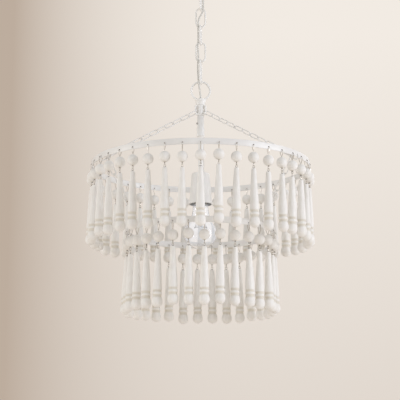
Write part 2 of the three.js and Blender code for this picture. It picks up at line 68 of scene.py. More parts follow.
Point = tuple[float, float, float]
Outline = list[tuple[float, float]]
Piece = bpy.types.Object
Tree = bpy.types.NodeTree
Socket = bpy.types.NodeSocket


class Ends(Enum):
    """How a turned piece ends at the first and last point of its outline."""

    CAPPED = "capped"
    OPEN = "open"
    JOINED = "joined"


class Level(float, Enum):
    """Heights of the fixture's main faces, from the ceiling."""

    CANOPY_FLOOR = -22.0
    CANOPY_RING = -54.5
    FIRST_LINK = -60.0
    FIXTURE_RING = -261.9
    LOOP_BASE_TOP = -277.9
    LOOP_BASE = -289.9
    HUB = -290.0
    NECK = -311.5
    COUPLING = -335.9
    BARE_PIPE = -351.9
    CUP = -423.9
    CUP_RIM = -483.4
    UPPER_HOOP = -412.9  # the holes; the bands' middles lie higher
    LOWER_HOOP = -539.4
    BULB_BOTTOM = -569.4


# ---------------------------------------------------------------- bench


def start_bench() -> None:
    """Leaves edit mode and deselects everything, because operators act on what is selected."""
    if bpy.context.object and bpy.context.object.mode != "OBJECT":
        bpy.ops.object.mode_set(mode="OBJECT")
    bpy.ops.object.select_all(action="DESELECT")


def pick(piece: Piece) -> None:
    """Selects one piece alone and makes it the active one.

    Args:
        piece: The piece.
    """
    start_bench()
    piece.select_set(True)
    bpy.context.view_layer.objects.active = piece


def scaled(point: Sequence[float]) -> Point:
    """Turns a point in millimetres into metres."""
    return tuple(value * MM for value in point)


def settle(name: str) -> Piece:
    """Names the new primitive and moves its place, turn and size into its mesh.

    Args:
        name: Name of the piece and of its mesh.

    Returns:
        The piece.
    """
    piece = bpy.context.object
    piece.name = piece.data.name = name
    bpy.ops.object.transform_apply(location=True, rotation=True, scale=True)
    return piece


def open_mesh(action: str = "SELECT") -> None:
    """Enters edit mode and selects, or deselects, the whole mesh of the active piece."""
    bpy.ops.object.mode_set(mode="EDIT")
    bpy.ops.mesh.select_all(action=action)


def modify(piece: Piece, kind: str, **settings: object) -> None:
    """Gives a piece a modifier with its settings and applies it.

    Args:
        piece: The piece.
        kind: The modifier's type.
        settings: Properties to set on the modifier.
    """
    pick(piece)
    bpy.ops.object.modifier_add(type=kind)
    step = piece.modifiers[-1]
    for key, value in settings.items():
        setattr(step, key, value)
    bpy.ops.object.modifier_apply(modifier=step.name)


def finish_mesh(piece: Piece) -> Piece:
    """Welds doubled corners, turns the faces outwards and shades the piece smooth.

    Args:
        piece: The piece, in object or edit mode.

    Returns:
        The same piece, in object mode.
    """
    pick(piece)
    open_mesh()
    bpy.ops.mesh.remove_doubles(threshold=WELD_DISTANCE)
    bpy.ops.mesh.normals_make_consistent(inside=False)
    bpy.ops.object.mode_set(mode="OBJECT")
    bpy.ops.object.shade_smooth_by_angle(angle=SMOOTH_ANGLE)
    return piece


def eased(outline: Outline, radius: float, steps: int = 3, closed: bool = False) -> Outline:
    """Rounds the corners of an outline.

    Args:
        outline: Points of (radius, height).
        radius: How far from a corner the rounding starts, less on short sides.
        steps: Points that replace a corner.
        closed: Whether the last point is joined to the first.

    Returns:
        The rounded outline.
    """
    count = len(outline)
    made: Outline = []
    for i, corner in enumerate(outline):
        if not closed and i in (0, count - 1):
            made.append(corner)
            continue
        here = Vector(corner)
        before = Vector(outline[i - 1]) - here
        after = Vector(outline[(i + 1) % count]) - here
        reach = min(radius, 0.45 * before.length, 0.45 * after.length)
        first = here + before.normalized() * reach
        last = here + after.normalized() * reach
        for k in range(steps):
            share = k / (steps - 1)
            low = first.lerp(here, share)
            high = here.lerp(last, share)
            made.append(tuple(low.lerp(high, share)))
    return made


def arc(reach: float, rise: float, centre: float, degrees: range) -> Outline:
    """Points on an upright ellipse round the axis, for angles above its middle level."""
    angles = [math.radians(turned) for turned in degrees]
    return [(reach * math.cos(angle), centre + rise * math.sin(angle)) for angle in angles]


def plain_ring(inner: float, outer: float, low: float, high: float) -> Outline:
    """The four corners of a ring's section."""
    return [(inner, low), (outer, low), (outer, high), (inner, high)]


def turn(name: str, outline: Outline, sides: int, ends: Ends = Ends.CAPPED) -> Piece:
    """Turns an outline about the Z axis: a disc is extruded and scaled from point to point.

    Args:
        name: Name of the new piece.
        outline: Points of (radius, height), every radius above zero.
        sides: Flats round the axis.
        ends: Whether the ends are capped, the last one left open, or both joined into a tube.

    Returns:
        The turned piece.
    """
    start_bench()
    radius, height = outline[0]
    bpy.ops.mesh.primitive_circle_add(
        vertices=sides,
        radius=radius * MM,
        fill_type="NOTHING" if ends is Ends.JOINED else "NGON",
        location=(0, 0, height * MM),
    )
    piece = settle(name)
    open_mesh()
    way = outline[1:] + outline[:1] if ends is Ends.JOINED else outline[1:]
    for next_radius, next_height in way:
        rise = (0, 0, (next_height - height) * MM)
        bpy.ops.mesh.extrude_region_move(TRANSFORM_OT_translate={"value": rise})
        share = next_radius / radius
        bpy.ops.transform.resize(value=(share, share, 1), center_override=(0, 0, next_height * MM))
        radius, height = next_radius, next_height
    if ends is Ends.OPEN:
        bpy.ops.mesh.delete(type="ONLY_FACE")
    return finish_mesh(piece)


def bend_link(name: str, length: float, width: float, wire: float, sides: int, steps: int) -> Piece:
    """Bends a closed link round two pins, in the XZ plane with its length along Z.

    Args:
        name: Name of the new piece.
        length: Outside length.
        width: Outside width.
        wire: Diameter of its wire.
        sides: Flats round the wire.
        steps: Steps round each half circle.

    Returns:
        The link, centred on the origin. A ring is a link as long as it is wide.
    """
    start_bench()
    reach = (width - wire) / 2 * MM
    stretch = (length - width) / 2 * MM
    bpy.ops.mesh.primitive_circle_add(
        vertices=sides, radius=wire / 2 * MM, fill_type="NOTHING", location=(reach, 0, stretch)
    )
    piece = settle(name)
    open_mesh()
    for pin in (stretch, -stretch):
        bpy.ops.mesh.spin(steps=steps, angle=math.pi, center=(0, 0, pin), axis=(0, 1, 0))
        if stretch:
            draw = (0, 0, -2 * pin)
            bpy.ops.mesh.extrude_region_move(TRANSFORM_OT_translate={"value": draw})
    return finish_mesh(piece)


def bend_wire(
    name: str, path: Sequence[Sequence[float]], diameter: float, roundness: int = 1
) -> Piece:
    """Bends a round wire along a path.

    Args:
        name: Name of the new piece.
        path: Points of its middle line.
        diameter: Diameter of the wire.
        roundness: Bevel resolution; the section has four corners and two more for each step.

    Returns:
        The wire as a mesh.
    """
    start_bench()
    line = bpy.data.curves.new(name, "CURVE")
    line.dimensions = "3D"
    line.bevel_depth = diameter / 2 * MM
    line.bevel_resolution = roundness
    line.use_fill_caps = True
    spline = line.splines.new("POLY")
    spline.points.add(len(path) - 1)
    for target, point in zip(spline.points, path):
        target.co = (*scaled(point), 1)
    piece = bpy.data.objects.new(name, line)
    bpy.context.scene.collection.objects.link(piece)
    pick(piece)
    bpy.ops.object.convert(target="MESH")
    piece = bpy.context.object
    piece.data.name = name
    return finish_mesh(piece)


def smooth_path(points: Sequence[Sequence[float]], per_span: int) -> list[Vector]:
    """Lays a smooth line through points, with tighter turns where they lie close together.

    Args:
        points: The points, three or more.
        per_span: Steps between two of them.

    Returns:
        The line's points, ends included.
    """
    knots = [Vector(point) for point in points]
    knots = [2 * knots[0] - knots[1], *knots, 2 * knots[-1] - knots[-2]]
    line = [knots[1]]
    for a, b, c, d in zip(knots, knots[1:], knots[2:], knots[3:]):
        gaps = [math.sqrt((q - p).length) for p, q in ((a, b), (b, c), (c, d))]
        leave = ((b - a) / gaps[0] - (c - a) / (gaps[0] + gaps[1]) + (c - b) / gaps[1]) * gaps[1]
        meet = ((c - b) / gaps[1] - (d - b) / (gaps[1] + gaps[2]) + (d - c) / gaps[2]) * gaps[1]
        for k in range(1, per_span + 1):
            t = k / per_span
            line.append(
                b * (2 * t**3 - 3 * t**2 + 1)
                + leave * (t**3 - 2 * t**2 + t)
                + c * (3 * t**2 - 2 * t**3)
                + meet * (t**3 - t**2)
            )
    return line


def make_block(name: str, size: Point, place: Point, round_off: float) -> Piece:
    """Makes a block with rounded edges.

    Args:
        name: Name of the new piece.
        size: Its three sides.
        place: Its middle.
        round_off: Radius of its edges.

    Returns:
        The block.
    """
    start_bench()
    bpy.ops.mesh.primitive_cube_add(size=MM, location=scaled(place), scale=size)
    piece = settle(name)
    modify(piece, "BEVEL", width=round_off * MM, segments=3)
    return finish_mesh(piece)


def make_pin(diameter: float, low: Point, high: Point, sides: int = 16) -> Piece:
    """Makes a bare round tool for cutting a hole, from one point to another.

    Args:
        diameter: Diameter of the hole.
        low: Middle of its first end.
        high: Middle of its other end.
        sides: Flats round it.

    Returns:
        The tool.
    """
    start_bench()
    ends = Vector(scaled(low)), Vector(scaled(high))
    way = ends[1] - ends[0]
    bpy.ops.mesh.primitive_cylinder_add(
        vertices=sides,
        radius=diameter / 2 * MM,
        depth=way.length,
        location=(ends[0] + ends[1]) / 2,
        rotation=way.to_track_quat("Z", "Y").to_euler(),
    )
    return settle("tool")


def join_pieces(name: str, pieces: Sequence[Piece]) -> Piece:
    """Puts several separate shells into one object.

    Args:
        name: Name of the joined object.
        pieces: The shells, which become one with the first.

    Returns:
        The joined object.
    """
    pick(pieces[0])
    for piece in pieces:
        piece.select_set(True)
    if len(pieces) > 1:
        bpy.ops.object.join()
    whole = bpy.context.object
    whole.name = whole.data.name = name
    return whole


def work(piece: Piece, tools: Sequence[Piece], operation: str) -> Piece:
    """Cuts tools out of a piece, or welds them onto it, and uses them up.

    Args:
        piece: The piece that is worked on.
        tools: Closed shells that don't cross each other.
        operation: DIFFERENCE or UNION.

    Returns:
        The worked piece.
    """
    tool = join_pieces("tool", tools)
    modify(piece, "BOOLEAN", operation=operation, solver="EXACT", object=tool)
    bpy.data.objects.remove(tool)
    return finish_mesh(piece)


def place(piece: Piece, matrix: Matrix) -> Piece:
    """Moves a piece's mesh; its object stays at the origin."""
    piece.data.transform(matrix)
    return piece


def shift(x: float, y: float, z: float) -> Matrix:
    """A move in millimetres."""
    return Matrix.Translation(scaled((x, y, z)))


def spun(degrees: float, axis: str = "Z") -> Matrix:
    """A turn about an axis through the origin."""
    return Matrix.Rotation(math.radians(degrees), 4, axis)


def copy_piece(master: Piece, name: str, matrix: Matrix) -> Piece:
    """Copies a piece with a mesh of its own and places the copy.

    Args:
        master: The piece to copy.
        name: Name of the copy.
        matrix: Where the copy goes.

    Returns:
        The copy.
    """
    twin = master.copy()
    twin.data = master.data.copy()
    twin.name = twin.data.name = name
    bpy.context.scene.collection.objects.link(twin)
    return place(twin, matrix)


def mark(piece: Piece, name: str, rule: Callable[[Vector], float]) -> None:
    """Writes a number on every corner of a mesh, for a finish to read.

    Args:
        piece: The piece.
        name: Name of the attribute.
        rule: Gives the number for a place in millimetres.
    """
    layer = piece.data.attributes.new(name, "FLOAT", "POINT")
    for corner, value in zip(piece.data.vertices, layer.data):
        value.value = rule(corner.co / MM)


# ------------------------------------------------------------- finishes


def linear(code: str) -> tuple[float, float, float, float]:
    """Turns an sRGB hex colour into the linear colour that a shader takes.

    Args:
        code: Hex code, with its number sign.

    Returns:
        Red, green, blue and full opacity.
    """
    made = []
    for i in (1, 3, 5):
        value = int(code[i : i + 2], 16) / 255
        made.append(value / 12.92 if value <= 0.04045 else ((value + 0.055) / 1.055) ** 2.4)
    return (*made, 1.0)


def add_node(
    tree: Tree,
    kind: str,
    inputs: dict | None = None,
    output: int | str = 0,
    **settings: object,
) -> Socket | None:
    """Adds a node to a tree, with its settings and what feeds it.

    Args:
        tree: The node tree.
        kind: The node's type, without its ShaderNode prefix.
        inputs: A value or another node's output for each named or numbered input.
        output: Which of its outputs to return.
        settings: Properties to set on the node.

    Returns:
        The output, or nothing for a node that ends the tree.
    """
    made = tree.nodes.new(f"ShaderNode{kind}")
    for key, value in settings.items():
        setattr(made, key, value)
    for key, value in (inputs or {}).items():
        if isinstance(value, Socket):
            tree.links.new(value, made.inputs[key])
        else:
            made.inputs[key].default_value = value
    return made.outputs[output] if made.outputs else None


def object_noise(tree: Tree, size: float, stretch: Point = (1, 1, 1), detail: float = 2) -> Socket:
    """Noise on object coordinates, with parts of a size in millimetres.

    Args:
        tree: The node tree.
        size: Size of the noise's parts.
        stretch: How much finer it is along each axis.
        detail: Octaves of finer noise on top.

    Returns:
        The noise, from 0 to 1 around 0.5.
    """
    space = add_node(tree, "TexCoord", output="Object")
    turned = add_node(tree, "Mapping", {"Vector": space, "Scale": stretch})
    return add_node(tree, "TexNoise", {"Vector": turned, "Scale": 1 / (size * MM), "Detail": detail})


def layered(tree: Tree, ground: str, *layers: tuple[Socket, str]) -> Socket:
    """Lays colours over a ground colour, each as strongly as its share says.

    Args:
        tree: The node tree.
        ground: Hex code of the lowest colour.
        layers: The share and the hex code of each colour, from the ground up.

    Returns:
        The mixed colour.
    """
    skin = linear(ground)
    for share, colour in layers:
        skin = add_node(tree, "Mix", {0: share, 6: skin, 7: linear(colour)}, 2, data_type="RGBA")
    return skin


@dataclass(frozen=True)
class Finish:
    """What every finish has. The numbers stand on the shader's own sockets.

    In the MapRange nodes of a pattern, inputs 1 and 2 are the span that comes in and 3 and 4 the
    span that goes out, which is 0 to 1 unless they are given.
    """

    name: str
    slot: str
    colour: str
    metallic: float = 0.0
    roughness: float = 0.5
    ior: float = 1.5

    def pattern(self, tree: Tree) -> dict[str, object]:
        """Adds the finish's own pattern and returns what feeds the shader's inputs."""
        return {}

    def material(self) -> bpy.types.Material:
        """Returns the finish's material, made when it is first asked for.

        Returns:
            The material.
        """
        known = bpy.data.materials.get(self.name)
        if known:
            return known
        made = bpy.data.materials.new(self.name)
        made.use_nodes = True
        tree = made.node_tree
        tree.nodes.clear()
        inputs = {"Base Color": linear(self.colour), "Metallic": self.metallic, "Roughness": self.roughness}
        if not self.metallic:
            inputs["IOR"] = self.ior
        surface = add_node(tree, "BsdfPrincipled", inputs | self.pattern(tree))
        add_node(tree, "OutputMaterial", {"Surface": surface})
        return made


@dataclass(frozen=True)
class PowderCoat(Finish):
    """White polyester powder on steel, baked: satin, with faint orange peel.

    The eye gets an even skin that is a little greyer along sharp edges, partly where the powder has
    drawn thinner and partly as painted shade of their dark outlines. Where a piece is marked with
    painted shade, as in the deep slots of the hub, it is painted a dark grey.
    """

    name: str = "powder_coated_steel"
    slot: str = "painted_steel"
    colour: str = "#F2F2F0"
    shade: str = "#E9E8E6"
    # edge tone: partly thinner powder, partly painted shade of the dark outlines
    thin_and_shade: str = "#D9D7D2"
    # painted shade for the deep slots of the hub
    bare_and_shade: str = "#8F8A82"
    ior: float = 1.52
    peel_size: float = 1.8  # coarser than the real 0.6 mm, to show at all
    peel_depth: float = 0.1  # in millimetres
    peel_strength: float = 0.12
    cloud_size: float = 38.0

    def pattern(self, tree: Tree) -> dict[str, object]:
        """Clouds of a greyer tint, greyer edges that are partly painted shade, painted shade in slots and
        orange peel.

        Args:
            tree: The material's node tree.

        Returns:
            What feeds the shader's inputs, by name.
        """
        clouds = object_noise(tree, self.cloud_size, detail=4)
        shade = add_node(tree, "MapRange", {0: clouds, 1: 0.35, 2: 0.68})
        # greyer on sharp edges: partly thinner powder, partly painted shade
        sharp = add_node(tree, "NewGeometry", output="Pointiness")
        edge = add_node(tree, "MapRange", {0: sharp, 1: 0.54, 2: 0.64, 4: 0.3})
        # painted shade where a piece is marked, as in the hub's slots
        bare_and_shade = add_node(tree, "Attribute", output="Fac", attribute_name="bare_and_shade")
        peel = object_noise(tree, self.peel_size)
        relief = {"Strength": self.peel_strength, "Distance": self.peel_depth * MM, "Height": peel}
        return {
            "Base Color": layered(
                tree, self.colour, (shade, self.shade), (edge, self.thin_and_shade), (bare_and_shade, self.bare_and_shade)
            ),
            "Roughness": add_node(tree, "MapRange", {0: peel, 1: 0.3, 2: 0.7, 3: 0.38, 4: 0.46}),
            "Normal": add_node(tree, "Bump", relief),
        }


@dataclass(frozen=True)
class PaintedBeech(Finish):
    """White matt paint brushed on turned beech: chalky, with the grain just showing through.

    The eye gets soft long streaks, fine turning rings, and a warmer, darker tone in the grooves,
    which the pieces mark with the attribute `groove`: partly a thinner coat and partly painted shade.
    """

    name: str = "painted_beech"
    slot: str = "painted_wood"
    colour: str = "#F4F3F0"
    streak: str = "#E9E6E0"
    # groove tone: partly beech under a thinner coat, partly painted shade
    bare_and_shade: str = "#CCC2A8"
    ior: float = 1.48
    grain_width: float = 1.3
    grain_depth: float = 0.1  # in millimetres
    ring_pitch: float = 1.1  # coarser than the real 0.3 mm tool marks, to show at all
    ring_depth: float = 0.15
    cloud_size: float = 16.0

    def pattern(self, tree: Tree) -> dict[str, object]:
        """Grain streaks, clouds of thinner paint, warm grooves that are partly painted shade, and turning
        rings.

        Args:
            tree: The material's node tree.

        Returns:
            What feeds the shader's inputs, by name.
        """
        grain = object_noise(tree, self.grain_width, (1, 1, 0.06), 5)
        streaks = add_node(tree, "MapRange", {0: grain, 1: 0.42, 2: 0.72, 4: 0.7})
        clouds = object_noise(tree, self.cloud_size, detail=3)
        wear_and_shade = add_node(tree, "MapRange", {0: clouds, 1: 0.5, 2: 0.78, 4: 0.5})
        groove = add_node(tree, "Attribute", output="Fac", attribute_name="groove")
        # groove tone, partly painted shade
        thin_and_shade = add_node(tree, "MapRange", {0: groove, 4: 0.45})
        rings = object_noise(tree, self.ring_pitch, (0.04, 0.04, 1))
        turned = {"Strength": 0.3, "Distance": self.ring_depth * MM, "Height": rings}
        relief = add_node(tree, "Bump", turned)
        fine = {"Strength": 0.25, "Distance": self.grain_depth * MM, "Height": grain, "Normal": relief}
        return {
            "Base Color": layered(
                tree, self.colour, (streaks, self.streak), (wear_and_shade, self.streak), (thin_and_shade, self.bare_and_shade)
            ),
            "Roughness": add_node(tree, "MapRange", {0: grain, 1: 0.3, 2: 0.7, 3: 0.55, 4: 0.72}),
            "Normal": add_node(tree, "Bump", fine),
        }


@dataclass(frozen=True)
class PlatedSteel(Finish):
    """Zinc or nickel on rolled or drawn steel: a soft grey shine with fine drawing marks."""

    name: str = "zinc_plated_steel"
    slot: str = "zinc_plate"
    colour: str = "#B4B1AA"
    stain: str = "#8F8A82"
    # painted shade where a wire goes into a hole
    entry_shade: str = "#3B3733"
    metallic: float = 1.0
    mark_size: float = 0.8
    cloud_size: float = 9.0

    def pattern(self, tree: Tree) -> dict[str, object]:
        """Duller clouds, drawing marks, and painted shade where a piece is marked, at the strand wires'
        ends in their holes.

        Args:
            tree: The material's node tree.

        Returns:
            What feeds the shader's inputs, by name.
        """
        clouds = object_noise(tree, self.cloud_size, detail=4)
        dull = add_node(tree, "MapRange", {0: clouds, 1: 0.4, 2: 0.7, 4: 0.8})
        # painted shade at the ends of the strand wires
        wear_and_shade = add_node(tree, "Attribute", output="Fac", attribute_name="wear_and_shade")
        marks = object_noise(tree, self.mark_size, (1, 1, 0.2))
        return {
            "Base Color": layered(tree, self.colour, (dull, self.stain), (wear_and_shade, self.entry_shade)),
            "Roughness": add_node(tree, "MapRange", {0: marks, 1: 0.3, 2: 0.7, 3: 0.26, 4: 0.46}),
        }


@dataclass(frozen=True)
class Phenolic(Finish):
    """Black moulded phenolic: dense, half glossy, with faint brown flow marks."""

    name: str = "moulded_phenolic"
    slot: str = "phenolic"
    colour: str = "#26221F"
    flow: str = "#3A3029"
    ior: float = 1.6
    flow_size: float = 6.0

    def pattern(self, tree: Tree) -> dict[str, object]:
        """Flow marks from the mould.

        Args:
            tree: The material's node tree.

        Returns:
            What feeds the shader's inputs, by name.
        """
        marks = object_noise(tree, self.flow_size, (1, 1, 0.4), 4)
        flow = add_node(tree, "MapRange", {0: marks, 1: 0.45, 2: 0.75, 4: 0.7})
        return {
            "Base Color": layered(tree, self.colour, (flow, self.flow)),
            "Roughness": add_node(tree, "MapRange", {0: flow, 3: 0.32, 4: 0.48}),
        }


@dataclass(frozen=True)
class BlownGlass(Finish):
    """Clear soda-lime glass, blown: fully smooth, with slow waves in its wall.

    The globe gets a faint cool painted glow: an emission that stands in for light caught in the wall.
    """

    name: str = "blown_glass"
    slot: str = "clear_glass"
    colour: str = "#FFFFFF"
    roughness: float = 0.0
    ior: float = 1.52
    wave_size: float = 22.0
    wave_depth: float = 0.3
    # painted glow: an emission in the globe, though the bulb is off
    painted_glow: str = "#B2D5FF"
    painted_glow_strength: float = 0.042
    painted_glow_level: float = -521.0
    painted_glow_full: float = 30.0  # above and below that level
    painted_glow_end: float = 40.0

    def pattern(self, tree: Tree) -> dict[str, object]:
        """Light goes through it, the wall waves a little, and the globe has its painted glow.

        Args:
            tree: The material's node tree.

        Returns:
            What feeds the shader's inputs, by name.
        """
        space = add_node(tree, "TexCoord", output="Object")
        level = add_node(tree, "SeparateXYZ", {0: space}, output="Z")
        off = add_node(tree, "Math", {0: level, 1: self.painted_glow_level * MM}, operation="SUBTRACT")
        away = add_node(tree, "Math", {0: off}, operation="ABSOLUTE")
        fade = {0: away, 1: self.painted_glow_end * MM, 2: self.painted_glow_full * MM, 4: self.painted_glow_strength}
        waves = object_noise(tree, self.wave_size)
        relief = {"Strength": 0.15, "Distance": self.wave_depth * MM, "Height": waves}
        return {
            "Transmission Weight": 1.0,
            "Emission Color": linear(self.painted_glow),
            "Emission Strength": add_node(tree, "MapRange", fade),
            "Normal": add_node(tree, "Bump", relief),
        }


@dataclass(frozen=True)
class ClearCord(Finish):
    """Tinned copper strands under clear PVC: silver with a diagonal lay and a wet shine."""

    name: str = "clear_pvc_cord"
    slot: str = "cord_skin"
    colour: str = "#DAD9D4"
    gap: str = "#CFCEC8"
    roughness: float = 0.4
    lay: float = 3.6  # of the strands along the cord, a little coarser than the real 3 mm
    lay_depth: float = 0.1

    def pattern(self, tree: Tree) -> dict[str, object]:
        """Strand bands that climb round the cord, under a clear coat.

        Args:
            tree: The material's node tree.

        Returns:
            What feeds the shader's inputs, by name.
        """
        space = add_node(tree, "TexCoord", output="Object")
        lean = add_node(tree, "Mapping", {"Vector": space, "Scale": (0.9, 0.9, 1.0)})
        wave = {"Vector": lean, "Scale": 1 / (3 * self.lay * MM), "Distortion": 0.4, "Detail": 1.0}
        bands = add_node(tree, "TexWave", wave, "Fac", wave_type="BANDS", bands_direction="DIAGONAL")
        relief = {"Strength": 0.25, "Distance": self.lay_depth * MM, "Height": bands}
        return {
            "Base Color": layered(tree, self.gap, (bands, self.colour)),
            "Coat Weight": 0.4,
            "Coat Roughness": 0.2,
            "Normal": add_node(tree, "Bump", relief),
        }


POWDER_COAT = PowderCoat()
# the same powder coat painted lighter: painted light on the suspension chain, the head and the cup
PAINTED_LIGHT_COAT = PowderCoat(name="powder_coat_painted_light", colour="#F8F8F6", shade="#F1F1EF", thin_and_shade="#E0DFDB")
PAINTED_BEECH = PaintedBeech()
ZINC_PLATE = PlatedSteel()
STEEL_WIRE = PlatedSteel(name="drawn_steel_wire", colour="#CFC8BE", stain="#ADA69B", cloud_size=5.0)
CAP_METAL = PlatedSteel(name="nickel_plated_brass", slot="cap_metal", colour="#C3BEB2", stain="#A29A89")
TUNGSTEN = PlatedSteel(name="tungsten_wire", slot="cap_metal", colour="#A7A39B", stain="#7F7A71")
PHENOLIC = Phenolic()
BLOWN_GLASS = BlownGlass()
CLEAR_CORD = ClearCord()
STRAND_LOOKS = {"wires": STEEL_WIRE, "bead": PAINTED_BEECH, "spindle": PAINTED_BEECH}


def hand_over(piece: Piece, finish: Finish, body: str, nodes: Sequence[str] = ()) -> None:
    """Gives a finished piece its material and its body, hides the CAD nodes that it replaces, and logs it.

    Args:
        piece: The piece, with its place in its mesh.
        finish: Its finish.
        body: The body that it moves with.
        nodes: CAD nodes that it replaces.
    """
    piece.data.materials.clear()
    piece.data.materials.append(finish.material())
    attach(piece, body)
    if nodes:
        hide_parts(*nodes)
    faces = len(piece.data.polygons)
    LOG.info("%s: %d faces, %s, rides on %s", piece.name, faces, finish.name, body)


# --------------------------------------------------------------- studio


@dataclass
class Studio:
    """The camera, the plain wall of light behind, the floor and soft lamps."""

    lens: float = 132.47  # on a sensor 36 mm wide
    stand: Point = (-1.2, -2717.0, -1039.6)
    tilt: float = 11.743
    floor_level: float = -2400.0
    floor_reach: float = 60000.0
    pale: str = "#F2EBE3"
    pale_low: str = "#E1D8CF"
    dusk: str = "#BDAD9E"
    floor_colour: str = "#EDE6DE"
    front_light: str = "#F3F3F4"
    front_strength: float = 0.61
    back_light: str = "#F2E6DA"
    back_strength: float = 0.72
    window: str = "#EEF3FC"  # seen only in gloss, in front of the fixture
    window_strength: float = 1.2
    lamps: tuple[tuple[str, Point, float, float, str], ...] = (
        ("key_lamp", (2480.0, -1050.0, -300.0), 1500.0, 33.0, "#F0F4FF"),
        ("fill_lamp", (-2600.0, -800.0, -300.0), 1600.0, 19.0, "#F9F8F7"),
        ("bounce_lamp", (-300.0, -1700.0, -1900.0), 2000.0, 7.0, "#FBF7F2"),
    )

    def set_camera(self) -> None:
        """Stands the camera where the photograph was taken."""
        start_bench()
        turned = (math.radians(90 + self.tilt), 0, 0)
        bpy.ops.object.camera_add(location=scaled(self.stand), rotation=turned)
        camera = bpy.context.object
        camera.name = "camera"
        camera.data.lens = self.lens
        camera.data.sensor_width = 36
        camera.data.clip_end = 200
        bpy.context.scene.camera = camera

    def light(self) -> None:
        """Sets the colour handling, the world, the floor and the lamps."""
        bpy.context.scene.view_settings.view_transform = "Standard"
        self.paint_world()
        self.lay_floor()
        aim = Vector(scaled((0, 0, -380)))
        for name, spot, size, power, colour in self.lamps:
            start_bench()
            stand = Vector(scaled(spot))
            facing = (aim - stand).to_track_quat("-Z", "Y").to_euler()
            bpy.ops.object.light_add(type="AREA", location=stand, rotation=facing)
            lamp = bpy.context.object
            lamp.name = name
            lamp.data.shape = "DISK"
            lamp.data.size = size * MM
            lamp.data.energy = power
            lamp.data.color = linear(colour)[:3]
            lamp.visible_camera = False

    def paint_world(self) -> None:
        """Paints the backdrop that is seen, and the even light that comes from all round.

        Seen straight and through glass, the world is a pale wall that falls off to dusk at the
        left of the front view and gets a little warmer towards the floor. Gloss shows a cool
        window in front of the fixture, and the light from there is cooler than from the wall.
        """
        world = bpy.data.worlds.new("studio")
        bpy.context.scene.world = world
        world.use_nodes = True
        tree = world.node_tree
        tree.nodes.clear()
        way = add_node(tree, "TexCoord", output="Generated")
        x, y, z = add_node(tree, "SeparateXYZ", {0: way}).node.outputs
        ahead = add_node(tree, "Math", {0: y, 1: 0.05}, operation="MAXIMUM")
        side = add_node(tree, "Math", {0: x, 1: ahead}, operation="DIVIDE")
        left = add_node(tree, "MapRange", {0: side, 1: 0.1323, 2: -0.1402, 4: 1.03})
        fall = add_node(tree, "Math", {0: left, 1: 4.1}, operation="POWER")
        back = add_node(tree, "MapRange", {0: side, 1: -2.6, 2: -0.2})
        share = add_node(tree, "Math", {0: fall, 1: back}, operation="MULTIPLY")
        rise = add_node(tree, "MapRange", {0: z, 1: 0.065, 2: 0.31})
        wall = layered(tree, self.pale_low, (rise, self.pale), (share, self.dusk))
        seen = add_node(tree, "Background", {"Color": wall})
        front = add_node(tree, "MapRange", {0: y, 1: 0.4, 2: -0.6})
        power = {0: front, 3: self.back_strength, 4: self.front_strength}
        glow = {
            "Color": layered(tree, self.back_light, (front, self.front_light)),
            "Strength": add_node(tree, "MapRange", power),
        }
        lit = add_node(tree, "Background", glow)
        window = add_node(
            tree, "Background", {"Color": linear(self.window), "Strength": self.window_strength}
        )
        facing = add_node(tree, "MapRange", {0: y, 1: 0.0, 2: -0.35})
        gloss = add_node(tree, "MixShader", {0: facing, 1: seen, 2: window})
        path = add_node(tree, "LightPath").node.outputs
        straight = {0: path["Is Camera Ray"], 1: path["Is Transmission Ray"]}
        shown = add_node(tree, "Math", straight, operation="MAXIMUM")
        soft = add_node(tree, "MixShader", {0: path["Is Glossy Ray"], 1: lit, 2: gloss})
        both = add_node(tree, "MixShader", {0: shown, 1: soft, 2: seen})
        add_node(tree, "OutputWorld", {"Surface": both})

    def lay_floor(self) -> None:
        """Lays a plain pale floor one room height below the ceiling plane."""
        start_bench()
        level = (0, 0, self.floor_level * MM)
        bpy.ops.mesh.primitive_plane_add(size=self.floor_reach * MM, location=level)
        floor = settle("floor")
        plaster = Finish("pale_floor", "", self.floor_colour, roughness=0.85)
        floor.data.materials.append(plaster.material())


# ----------------------------------------------------------------- cord


